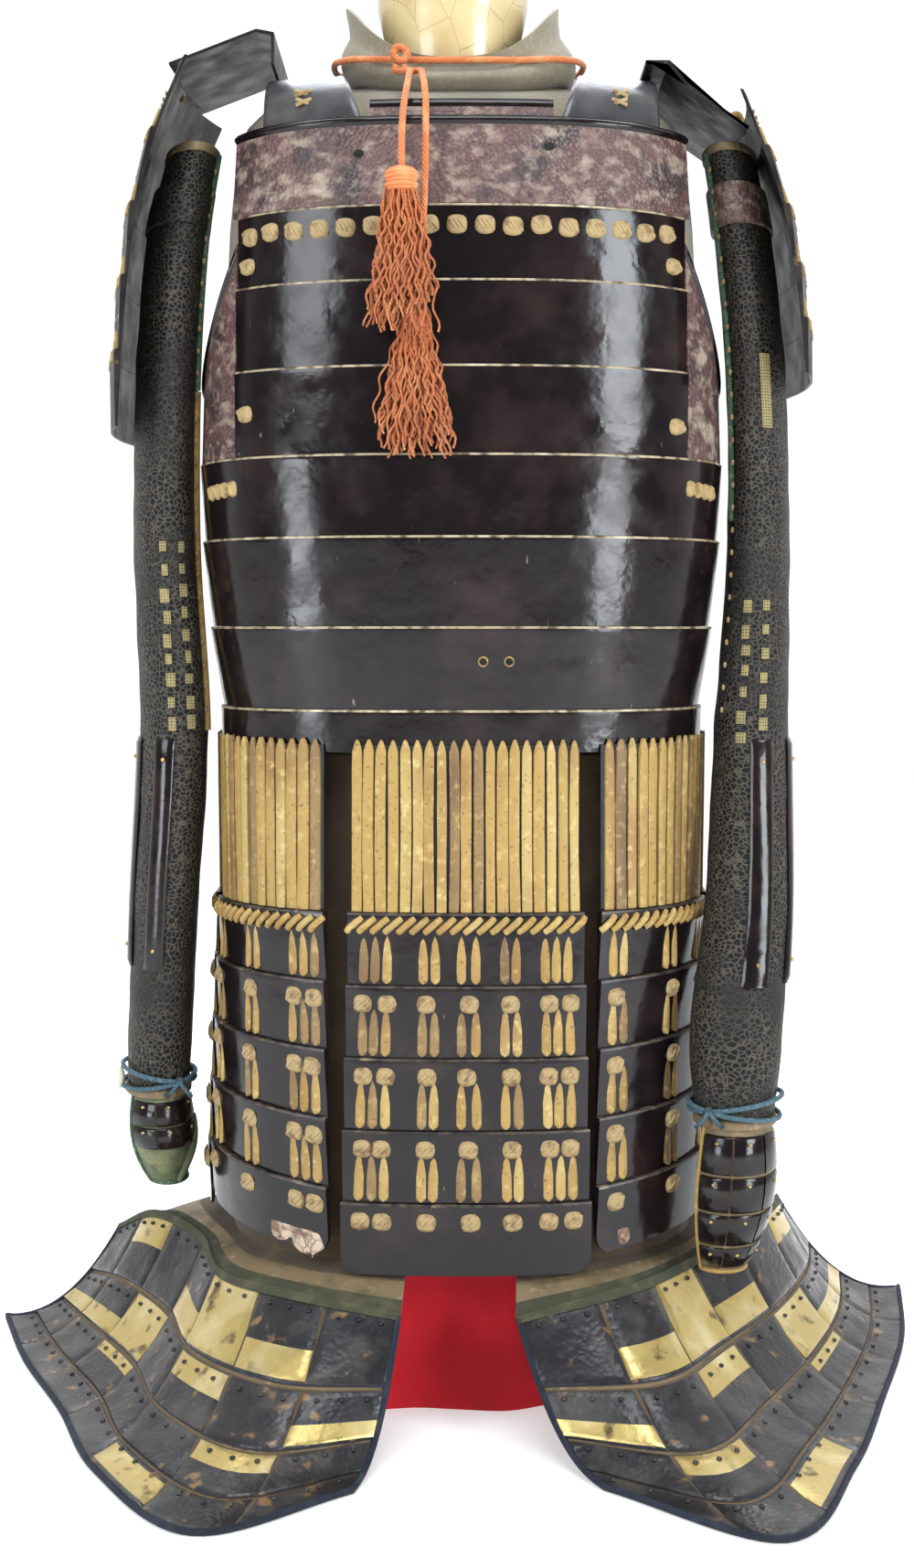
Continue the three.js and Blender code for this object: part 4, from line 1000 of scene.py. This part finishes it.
# The laces of a guard, as shares of its half length, and half a lace's width.
GUARD_LACES = (-0.92, -0.84, -0.42, -0.34, 0.34, 0.42, 0.84, 0.92)
GUARD_LACE_HALF = 0.018
for side, sign in SIDE.items():
    surface = strap_surface(sign)
    piece = Piece(f"lacquered_strap_{side}", ["dull_lacquer"], "aged_lacquer", [f"shoulder_strap_{side}"])
    piece.panel(surface, list(STRAP_EDGE), spread(0, 1, 60), lambda u, v: -LAME_WALL,
                lambda u, v: STRAP_EDGE[u], "dull_lacquer")
    for run in STRAP_STITCHES:
        place = surface(0.55, run, 0.8)
        for spin in (-1, 1):
            piece.tube([place + Vector((sign * -5, 0.5, -2 * spin)), place + Vector((0, -0.8, 0)),
                        place + Vector((sign * 5, 0.5, 2 * spin))], 1.3, "knot_leather", sides=6)
    piece.make()

    wing = Piece(f"lacquered_wing_{side}", ["guard_lacquer"], "lacquer", [f"shoulder_wing_{side}"])
    outline = WINGS[side]
    half = len(outline) // 2
    droop = lambda x, y: -2.0 * (abs(y) / WING_DEPTHS[-1]) ** 3 if x > WING_DROOP_FROM else 0.0
    upper, lower = ([[Vector((sign * x, y, z + droop(x, y))) for y in WING_DEPTHS] for x, z in face]
                    for face in (outline[:half], outline[:half - 1:-1]))
    wing.wall(upper, lower, "guard_lacquer")
    wing.make()

    rows = GUARDS[side]

    def guard_surface(share, z, out, rows=rows, sign=sign):
        x = section_at(rows, z, smooth=True)[0]
        return Vector((sign * (x - GUARD_BOW * share ** 2 + out), share * GUARD_HALF_LENGTH, z))

    guard = Piece(f"laced_guard_{side}", ["guard_lacquer"], "lacquer", [f"shoulder_guard_{side}"])
    tops = [row[0] for row in rows]
    for i, (top, below) in enumerate(zip(tops, tops[1:])):
        add_lame(guard, guard_surface, spread(-1, 1, 36), top, below + SEAM, 3.0 if i else 0.6, 1.8,
                 face="guard_lacquer", edge="worn_edge")
    # Laces and a row of beads join each lame to the one above.
    for top in tops[1:-1]:
        for centre in GUARD_LACES:
            guard.panel(guard_surface, spread(centre - GUARD_LACE_HALF, centre + GUARD_LACE_HALF, 2),
                        spread(top + 13, top - 7, 6), lambda u, z: 0.2,
                        lambda u, z, top=top: 1.6 if z > top else 3.6, "strip")
        for centre in spread(-0.95, 0.95, 12):
            guard.ball(guard_surface(centre, top + 22, 0.8), (0.9, 2, 2), "knot_leather", rings=5, sides=8)
    path = [catmull([Vector((sign * x, 0, z)) for x, z in THONGS[side]], s) for s in spread(0, 1, 16)]
    guard.tube(path, 1.1, "strip", sides=8, wide=3.0)
    guard.make()


# The skirt: strips and tassets.
strip_surface = along("strips", STRIP_RINGS)
STRIP_TOP, STRIP_FOOT = 453.2, 340.6
for name, middle, width, *_ in TASSETS:
    strips = Piece(f"leather_strips_{name}", ["strip"], "smoked_leather", [f"hanging_strips_{name}"])
    pitch = 8.0 if name == "front" else 8.6
    count = int(width / pitch)
    for i in range(count):
        centre = middle + (i - (count - 1) / 2) * pitch
        sway = chance.uniform(-0.8, 0.8)
        half = pitch / 2 - chance.uniform(0.15, 1.1)
        tone = chance.choice(("strip", "strip", "strip_dark", "strip_pale"))
        top = STRIP_TOP - chance.uniform(0, 1.2)
        levels = [top - down for down in (0, 0.6, 1.6, 3, 5, 8, 20)] + spread(420, STRIP_FOOT, 6)

        def strip_point(u, z, out, centre=centre, sway=sway, top=top, half=half):
            down = (top - z) / (top - TASSET_TOP)
            taper = clamp(0.03 + (top - z) / 9, 0, 1) ** 0.62
            taper *= 1 + 0.12 * noise(Vector((centre, z / 30, 9.0)))
            bend = sway * math.sin(down * math.pi)
            return strip_surface(centre + u * half * taper + bend, z, out)

        swell = chance.uniform(-0.25, 0.25)
        lift = 0.7 * (i % 2)
        outer = lambda u, z, w=swell + lift: 0.55 + 0.45 * (1 - u * u) + w
        strips.panel(strip_point, [-1, -0.75, -0.4, 0, 0.4, 0.75, 1], levels, lambda u, z: -0.9, outer, tone)
    # Dark cloth shows between them.
    cloth_us = spread(middle - width / 2 + 2, middle + width / 2 - 2, 20)
    strips.panel(strip_surface, cloth_us, spread(449, 341, 4), lambda u, z: -1.4, lambda u, z: -1.0,
                 "dark_cloth")
    strips.make(sharp=60)

tasset_ring = along("tassets", TASSET_RINGS)
# Columns of laces and of knots, as shares of a tasset's width.
LACE_COLUMNS = {"front": [0.07, 0.12, 0.17, 0.32, 0.37, 0.48, 0.54, 0.66, 0.71, 0.83, 0.88, 0.93]}
SIDE_LACES = [0.08, 0.15, 0.46, 0.53, 0.80, 0.87, 0.94]
KNOT_COLUMNS = {"front": [0.075, 0.165, 0.345, 0.51, 0.685, 0.835, 0.925]}
SIDE_KNOTS = [0.10, 0.49, 0.82, 0.93]
# Worn places: share of the width, height, half width and half height.
WORN_PATCHES = {
    "front_left": [(0.76, 141, 13, 15), (0.86, 131, 9, 12), (0.70, 131, 8, 8), (0.93, 128, 5, 10)],
    "front_right": [(0.16, 133, 5, 9)],
}
CORNER = {"height": 13, "inset": 12}
STITCH_PITCH = 8.2
for name, middle, width, foot_width, foot, slant in TASSETS:
    piece = Piece(f"laced_tasset_{name}", ["lacquer"], "lacquer", [f"tasset_{name}"])

    def skin(share, z, out, middle=middle, width=width, foot_width=foot_width, slant=slant, foot=foot):
        down = clamp((TASSET_TOP - z) / (TASSET_TOP - TASSET_RINGS[1][0]), 0, 1)
        wide = mix(width, foot_width, down)
        # The lowest lame's corners are rounded.
        corner = clamp((foot + CORNER["height"] - z) / CORNER["height"], 0, 1)
        inset = (1 - math.sqrt(max(0.0, 1 - corner ** 2))) * CORNER["inset"] / wide
        side = clamp(share, inset, 1 - inset)
        lift = slant * (share - 0.5) * 2 * down
        point = tasset_ring(middle + (side - 0.5) * wide, z, out)
        point.z += lift
        return point

    # Laces, knots and worn places are sized by the tasset's middle width.
    size = mix(width, foot_width, 0.5)
    flat_skin = lambda u, z, out, skin=skin, size=size: skin(u / size, z, out)
    pitch = (TASSET_TOP - foot) / TASSET_LAMES
    for i in range(TASSET_LAMES):
        top = TASSET_TOP - i * pitch
        bottom = top - pitch + SEAM
        levels = [top, top - 0.5, top - 1.5, top - 4] + spread(top - 10, bottom, 8)
        piece.panel(skin, spread(0, 1, 36), levels, lambda u, z: -LAME_WALL, rolled(top, TASSET_LIP, bottom),
                    "lacquer", rim="worn_edge", pick=lambda r, c: "worn_edge" if r < 2 else "lacquer")
        if i == 0:
            continue
        for share in LACE_COLUMNS.get(name, SIDE_LACES):
            # Each lace is a flat thong with rounded ends, which hangs down to the next lame.
            high, low = top + 33 - chance.uniform(0, 3), top + 1.5
            drops = [0, 0.8, 2, 4, 10, 20, 26, high - low - 3, high - low - 1, high - low]
            lean = chance.uniform(-0.6, 0.6)

            def lace(s, v, out, share=share, size=size, high=high, low=low, lean=lean):
                end = min(v, high - low - v)
                wide = 3.1 * math.sqrt(1 - (1 - clamp(end / 3.2 + 0.04, 0, 1)) ** 2)
                return skin(share + (s * wide + lean * v / 30) / size, high - v, out)

            piece.panel(lace, [-1, -0.6, 0, 0.6, 1], drops, lambda u, v: 0.3,
                        lambda u, v: 1.3 + 1.1 * (1 - u * u),
                        chance.choice(("strip", "strip", "strip_pale", "strip_dark")))
        for share in KNOT_COLUMNS.get(name, SIDE_KNOTS):
            u, z = (share + chance.uniform(-0.01, 0.01)) * size, top - 11.5
            piece.patch(flat_skin, (u, z), (6.2, 6.0), chance.uniform(-8, 8), 2.6, 2.4, "knot_leather",
                        cells=6, square=0.4)
            for shift in (-2.0, 2.0):
                piece.patch(flat_skin, (u + shift, z), (4.6, 1.5), 48, 4.2, 1.6, "knot_leather", cells=4)
    # Worn places, where the lacquer is off the leather.
    for share, z, wide, tall in WORN_PATCHES.get(name, ()):
        piece.patch(flat_skin, (share * size, z), (wide, tall), chance.uniform(-15, 15), 0.1, 0.9,
                    "bare_leather", cells=10, square=0.3)
    # A row of slanted twisted stitches runs along the top.
    stitches = int(width / STITCH_PITCH)
    for k in range(stitches):
        u = (k + 0.5) / stitches
        low, high = skin(u - 2.6 / width, 330, 4.2), skin(u + 2.6 / width, 334.5, 4.2)
        piece.tube([skin(u - 5 / width, 328, 2.4), low, high, skin(u + 5 / width, 336.5, 2.4)], 2.3,
                   "strip" if k % 3 else "strip_pale", sides=8)
    piece.make()


# Sleeves.
def sleeve_surface(side):
    sign, table = SIDE[side], SLEEVES[side]

    def point(turn, z, out):
        x0, y0, half_width, half_depth = section_at(table, z, smooth=True)
        lean = math.radians(SLEEVE_LEAN) * sign
        x = sign * math.sin(math.radians(turn)) * (half_width + out)
        y = -math.cos(math.radians(turn)) * (half_depth + out)
        return Vector((x0 + x * math.cos(lean) + y * math.sin(lean),
                       y0 - x * math.sin(lean) + y * math.cos(lean), z))
    return point


def mail_crease(turn, z):
    angle = math.radians(turn)
    return 0.9 * noise(Vector((math.cos(angle) * 2, math.sin(angle) * 2, z / 28))) - 0.3


SLEEVE_TURNS = (-160, 200)
SPLINT_TURNS = (20, 87.5, 155)
SPLINT_LEVELS = [450, 449, 446] + spread(430, 310, 8) + [294, 291, 290]
SPLINT_RIVETS = (436, 304)
# Woven windows between the mail: the turns of their two columns, and from which height to which.
WINDOWS = {"left": ((-24, 8), 585, 462), "right": ((-12, 20), 545, 452)}
# The laced inner edge: its turn, and where its green piping ends.
PIPING = {"left": (-62, 690), "right": (-50, 600)}
for side, sign in SIDE.items():
    surface = sleeve_surface(side)
    piece = Piece(f"mail_sleeve_{side}", ["mail"], "mail", [f"sleeve_{side}"])
    levels = spread(SLEEVE_TOP, SLEEVE_FOOT, 130)
    turns = spread(*SLEEVE_TURNS, 64)[:-1]
    piece.panel(surface, turns, levels, lambda u, z: -2.2, mail_crease, "mail", wraps=True)
    # The cap, the upper edge and the cuff's edge, each a band round the arm.
    cap = "grained" if side == "right" else "mail"
    bands = [(829, 800, cap, 1.8), (856, 850, "band_leather", 1.0), (206, 199.9, "band_leather", 1.2)]
    for top, foot, material, lift in bands:
        piece.panel(surface, turns, [top, top - 1, (top + foot) / 2, foot + 1, foot], lambda u, z: -0.4,
                    lambda u, z, t=top, f=foot, h=lift: h if f < z < t else 0.2, material, wraps=True)
    # Lacquered splints on the forearm, each a long rounded bar.
    for turn in SPLINT_TURNS:
        rise = lambda u, z, t=turn: 2.6 * (1 - ((u - t) / 17.6) ** 4) ** 0.5 * (1 if 292 < z < 448 else 0.5)
        piece.panel(surface, spread(turn - 17, turn + 17, 10), SPLINT_LEVELS, lambda u, z: -0.3, rise,
                    "lacquer")
        for z in SPLINT_RIVETS:
            piece.ball(surface(turn, z, 2.7), (1.6, 1.6, 1.6), "brass", rings=5, sides=8)
    columns, window_top, window_foot = WINDOWS[side]
    for turn in columns:
        z = window_top
        while z > window_foot:
            wide, tall = chance.uniform(4.5, 7.5), chance.uniform(5.5, 9)
            shift = chance.uniform(-1.5, 1.5)
            piece.panel(surface, spread(turn - wide + shift, turn + wide + shift, 3),
                        [z, z - 0.8, z - tall, z - tall - 0.8], lambda u, z: -0.3, lambda u, z: 0.9, "window")
            z -= chance.uniform(13, 17)
    if side == "right":
        # One long window lies high on this arm.
        piece.panel(surface, spread(12, 30, 4), [712, 710, 664, 662], lambda u, z: -0.3, lambda u, z: 1.0,
                    "window")
    sleeve = piece.make(sharp=55)

    # Piping along the sleeve's inner edge, where it is laced together.
    piping = Piece(f"piping_{side}", ["green_cord"], "silk")
    inner_turn, green_foot = PIPING[side]
    upper = [surface(inner_turn, z, 1.4) for z in spread(852, green_foot, 24)]
    piping.tube(upper, 2.0, "green_cord")
    if side == "left":
        lower = [surface(inner_turn, z, 1.4) for z in spread(689, 455, 30)]
        piping.tube(lower, 2.3, "strip")
    for z in spread(840, 470, 24):
        edge = surface(inner_turn + 4, z, 1.5)
        piping.ball(edge, (1.4, 1.4, 2.2), "knot_leather", rings=4, sides=6)
    piping.make(sharp=60)


# Hand guards and wrist cords.
# Each hand guard: the turns between which it reaches, its length and how far it curls inwards.
HANDS = {"left": (-130, 60, 62, 6), "right": (-50, 150, 96, 8)}
HAND_ROWS = {
    "left": ((0.04, 0.3), (0.32, 0.56)),
    "right": ((0.04, 0.3), (0.32, 0.56), (0.58, 0.8), (0.82, 0.97)),
}
HAND_PLATES = 4
for side, sign in SIDE.items():
    start_turn, end_turn, length, curl = HANDS[side]
    base = sleeve_surface(side)
    x0, y0 = section_at(SLEEVES[side], SLEEVE_FOOT)[:2]

    def hand_surface(turn, down, out, base=base, x0=x0, y0=y0, sign=sign, length=length, curl=curl):
        point = base(turn, SLEEVE_FOOT, out - 1.5)
        size = 1 + 0.16 * math.sin(down * math.pi) - 0.34 * down ** 3
        return Vector((x0 + (point.x - x0) * size - sign * curl * down ** 2, y0 + (point.y - y0) * size,
                       SLEEVE_FOOT - SEAM - length * down))

    piece = Piece(f"plated_hand_guard_{side}", ["band_leather"], "lacquer", [f"hand_guard_{side}"])
    turns = spread(start_turn, end_turn, 30)
    lining = "green_leather" if side == "left" else "band_leather"
    piece.panel(hand_surface, turns, spread(0, 1, 20), lambda u, v: -1.6,
                lambda u, v: -0.2 + 0.5 * noise(Vector((u / 18, v * 5, 4.0))), lining)
    for low, high in HAND_ROWS[side]:
        for k in range(HAND_PLATES):
            a = mix(start_turn + 6, end_turn - 6, k / HAND_PLATES)
            b = mix(start_turn + 6, end_turn - 6, (k + 1) / HAND_PLATES) - 3
            downs = [low, low + 0.015, (low + high) / 2, high - 0.015, high]
            piece.panel(hand_surface, spread(a, b, 5), downs, lambda u, v: -0.3,
                        lambda u, v, m=low, n=high: 1.6 if m < v < n else 0.8, "lacquer")
            middle = hand_surface((a + b) / 2, low + 0.05, 1.7)
            piece.ball(middle, (1.5, 1.5, 1.2), "brass", rings=4, sides=8)
    edge = [hand_surface(start_turn, v, 0.2) for v in spread(0, 1, 20)]
    edge += [hand_surface(t, 1, 0.2) for t in spread(start_turn, end_turn, 24)[1:]]
    edge += [hand_surface(end_turn, v, 0.2) for v in spread(1, 0, 20)[1:]]
    piece.tube(edge, 1.5, "green_cord" if side == "left" else "strip")
    if side == "left":
        # The lining's edge is rolled, and stitched into a fold in front.
        roll = [hand_surface(mix(-88, -30, s), mix(0.30, 0.98, s), 0.6) for s in spread(0, 1, 16)]
        piece.tube(roll, lambda s: 2.0 + 1.6 * math.sin(math.pi * s), "green_leather", sides=10)
    piece.make(sharp=55)

    cords = Piece(f"wrist_cords_{side}", ["blue_cord"], "silk")
    surface = sleeve_surface(side)
    for z, tilt in ((214, 5), (209, -4)):
        ring = [surface(t, z + tilt * math.sin(math.radians(t)), 3.2) for t in spread(*SLEEVE_TURNS, 40)[:-1]]
        cords.tube(ring, 1.7, "blue_cord", closed=True)
    # A bow in front, and an oval toggle at the left cuff.
    front = surface(-30, 212, 4.5)
    for dx in (-1, 1):
        loop = [front + Vector((dx * 9 * math.sin(s * math.pi), -2 - 3 * math.sin(s * math.pi),
                                -10 * s * (1 - s) * 4)) for s in spread(0, 1, 14)]
        cords.tube(loop, 1.5, "blue_cord")
    cords.ball(front, (3.4, 3.0, 3.2), "blue_cord")
    if side == "left":
        cords.ball(surface(80, 211, 6), (4.0, 3.0, 8.0), "pale", rings=10, sides=14)
    cords.make(sharp=60)


# The thigh apron.
FLAP_WAIST, FLAP_THIGH, CLOTH_WALL = 441, 106, 2.0
FLAP_SLACK = 1.2
THIGH_RING = (166, 148, 144)


def flap_surface(side):
    """A flap: share across it from its front edge, and down from -2 at the waist over -1 at the thigh
    and 0 at the knee to 1 at the hem."""
    sign, table = SIDE[side], FLAPS[side]

    def polar(turn, reach, z):
        angle = math.radians(turn)
        return Vector((sign * math.sin(angle) * reach, -math.cos(angle) * reach, z))

    waist_section = section_at(FORM, FLAP_WAIST)
    lines = {
        "waist": [ring_point(waist_section, sign * row[0], FLAP_WAIST, CLOTH_WALL + FLAP_SLACK)
                  for row in table],
        "thigh": [ring_point(THIGH_RING, sign * row[0], FLAP_THIGH) for row in table],
        "knee": [polar(row[1], row[2], row[3]) for row in table],
        "hem": [polar(row[4], row[5], 0) for row in table],
    }

    def bare(share, down):
        if down <= -1:
            return catmull(lines["waist"], share).lerp(catmull(lines["thigh"], share), down + 2)
        if down <= 0:
            return catmull(lines["thigh"], share).lerp(catmull(lines["knee"], share), down + 1)
        knee = catmull(lines["knee"], share)
        point = knee.lerp(catmull(lines["hem"], share), down)
        point.z = CLOTH_WALL + (knee.z - CLOTH_WALL) * (1 - down) ** 2.2
        return point

    def surface(share, down, out):
        share = clamp(share, 0, 1)
        step = 0.01
        across = bare(min(1, share + step), down) - bare(max(0, share - step), down)
        fall = bare(share, min(1, down + step)) - bare(share, max(-2, down - step))
        normal = across.cross(fall).normalized() * -sign
        point = bare(share, down) + normal * out
        point.z = max(point.z, CLOTH_WALL + out)
        return point
    return surface


ROWS = [("a", 0.0, 0.27), ("b", 0.27, 0.52), ("c", 0.52, 0.76), ("d", 0.76, 1.0)]
PLATES = 7
# The share of a plate's height, from and to, that is gilded.
GILDED = {("a", 1): (0.5, 1), ("a", 2): (0.1, 1), ("a", 3): (0.5, 1), ("a", 5): (0, 0.5), ("b", 2): (0, 0.4),
          ("b", 4): (0, 1), ("b", 5): (0.5, 1), ("b", 6): (0.5, 1), ("b", 0): (0.5, 1), ("c", 1): (0, 0.5),
          ("c", 4): (0, 0.35), ("d", 2): (0.2, 0.8)}
FLAP_DOWNS = spread(-2, -1, 10) + spread(-1, 0, 8)[1:] + spread(0, 1, 30)[1:]


def cloth_kind(row, column):
    """Bands of green cloth and of leather lie over the brown cloth, above the plates."""
    down = FLAP_DOWNS[row]
    if down > 0:
        return "band_leather"
    return "green_cloth" if down >= -0.26 else "band_leather" if down >= -0.64 else "apron_cloth"


for side, sign in SIDE.items():
    surface = flap_surface(side)
    cloth = Piece(f"apron_cloth_{side}", ["apron_cloth"], "apron_cloth", [f"apron_flap_{side}"])

    def ripple(u, v, seed=2.0 if sign > 0 else 5.0):
        return -0.15 + (1.2 * noise(Vector((u * 9, v * 1.3, seed))) if -1.8 < v < -0.3 else 0.0)

    cloth.panel(surface, spread(0, 1, 60), FLAP_DOWNS, lambda u, v: -1.9, ripple, "apron_cloth",
                pick=cloth_kind)
    cloth_object = cloth.make(sharp=60)

    for row, start, end in ROWS:
        plates = Piece(f"apron_plate_row_{side}_{row}", ["apron_plate"], "apron_plate",
                       [f"apron_plates_{side}_{row}"])
        # The row's own backing, bound at its lower edge.
        downs = [start + 0.006, start + 0.012, mix(start, end, 0.5), end - 0.012, end - 0.006]
        plates.panel(surface, spread(0.0, 1.0, 48), downs, lambda u, v: 0.2, lambda u, v: 0.9, "apron_cloth",
                     pick=lambda r, c: "navy_cloth" if r > 2 else "apron_cloth")
        for k in range(PLATES):
            # A plate lies a little over the next one, and its outer side is lifted.
            left, right = k / PLATES + 0.006, min((k + 1) / PLATES + 0.004, 0.995)
            low, high = start + 0.010, end - 0.010
            tilt = 0.5 if k % 2 else 0.9
            us = [left, left + 0.006] + spread(left + 0.02, right - 0.02, 4) + [right - 0.006, right]
            vs = [low, low + 0.006] + spread(low + 0.03, high - 0.03, 5) + [high - 0.008, high]
            crown = lambda u, v, a=left, b=right, c=low, d=high, t=tilt: (
                0.6 if u in (a, b) or v in (c, d) else 1.5) + t * (v - c) / (d - c)
            gold_from, gold_to = GILDED.get((row, k), (1, 0))

            def kind(r, c, gold_from=gold_from, gold_to=gold_to, rows=len(vs) - 1):
                place = (r + 0.5) / rows
                return "gilt" if gold_from < place < gold_to and 0 < r < rows - 1 else "apron_plate"

            plates.panel(surface, us, vs, lambda u, v: 0.6, crown, "apron_plate", pick=kind)
            for s in (0.2, 0.5, 0.8):
                place = surface(mix(left, right, s), low + 0.035, 1.8)
                plates.ball(place, (2.0, 2.0, 1.4), "apron_plate", rings=4, sides=8)
        if row == "a":
            # A green band covers the plates' upper edge.
            band = [v + 0.002 for v in (0.0, 0.004, 0.02, 0.024)]
            plates.panel(surface, spread(0.0, 1.0, 48), band, lambda u, v: 0.2, lambda u, v: 2.4,
                         "green_cloth")
        plates.make(sharp=50)

    # A bound edge runs down the front of the flap, along the hem and up the back.
    binding = Piece(f"apron_binding_{side}", ["navy_cloth"], "apron_cloth")
    edge = [surface(0.004, v, 0.4) for v in spread(0.01, 1, 30)]
    edge += [surface(u, 1.0, 0.4) for u in spread(0, 1, 60)[1:]]
    edge += [surface(0.996, v, 0.4) for v in spread(1, 0.01, 30)[1:]]
    for point in edge:
        point.z = max(point.z, 2.6)
    binding.tube(edge, 2.2, "navy_cloth", sides=8)
    binding.make(sharp=60)


# Floor and light.
FLOOR_HALF = 6.0
floor_mesh = bpy.data.meshes.new("floor")
floor_mesh.from_pydata([(x * FLOOR_HALF, y * FLOOR_HALF, 0) for x, y in ((-1, -1), (1, -1), (1, 1), (-1, 1))],
                       [], [(0, 1, 2, 3)])
floor = bpy.data.objects.new("floor", floor_mesh)
floor_look = make_material("floor", (0.86, 0.86, 0.86), 0.7,
                           layers=[("noise", 2, 2, (), (0.84, 0.84, 0.84), 0.4, 0.6)])
floor_mesh.materials.append(floor_look)
# The studio's floor is washed with light as far as it goes.
floor_shader = floor_look.node_tree.nodes["Principled BSDF"]
floor_shader.inputs["Emission Color"].default_value = (1, 1, 1, 1)
floor_shader.inputs["Emission Strength"].default_value = 0.38
bpy.context.scene.collection.objects.link(floor)

world = bpy.data.worlds.new("studio")
world.use_nodes = True
background = world.node_tree.nodes["Background"]
background.inputs["Color"].default_value = (1.0, 1.0, 1.0, 1)
# The room is bright behind the armour and dim before it, which the lacquer mirrors.
directions = world.node_tree.nodes.new("ShaderNodeTexCoord")
split = world.node_tree.nodes.new("ShaderNodeSeparateXYZ")
world.node_tree.links.new(directions.outputs["Generated"], split.inputs["Vector"])
brightness = ranged(world.node_tree, split.outputs["Y"], -0.3, 0.35, 0.20, 1.1)
world.node_tree.links.new(brightness, background.inputs["Strength"])
bpy.context.scene.world = world

# Each light: its place, what it shines at, its size in metres and its power in watts.
LIGHTS = [
    ("key", (-1.7, -1.7, 1.5), (0.0, 0.0, 0.5), 1.0, 26),
    ("window", (1.7, -1.6, 1.2), (0.0, 0.0, 0.5), 0.8, 31),
    ("low_window", (1.5, -1.7, 0.42), (0.0, 0.0, 0.45), 0.5, 12),
    ("low_key", (-1.6, -1.5, 0.42), (0.0, 0.0, 0.45), 0.5, 10),
    ("top", (0.0, -0.9, 2.7), (0.0, -0.1, 0.3), 1.3, 40),
    ("floor_wash", (0.0, 1.6, 2.4), (0.0, 0.8, 0.0), 2.0, 60),
]
for name, place, aim, size, power in LIGHTS:
    data = bpy.data.lights.new(name, "AREA")
    data.shape = "SQUARE"
    data.size = size
    data.energy = power
    data.color = (0.90, 0.95, 1.0)
    lamp = bpy.data.objects.new(name, data)
    lamp.location = place
    lamp.rotation_euler = (Vector(aim) - Vector(place)).to_track_quat("-Z", "Y").to_euler()
    bpy.context.scene.collection.objects.link(lamp)
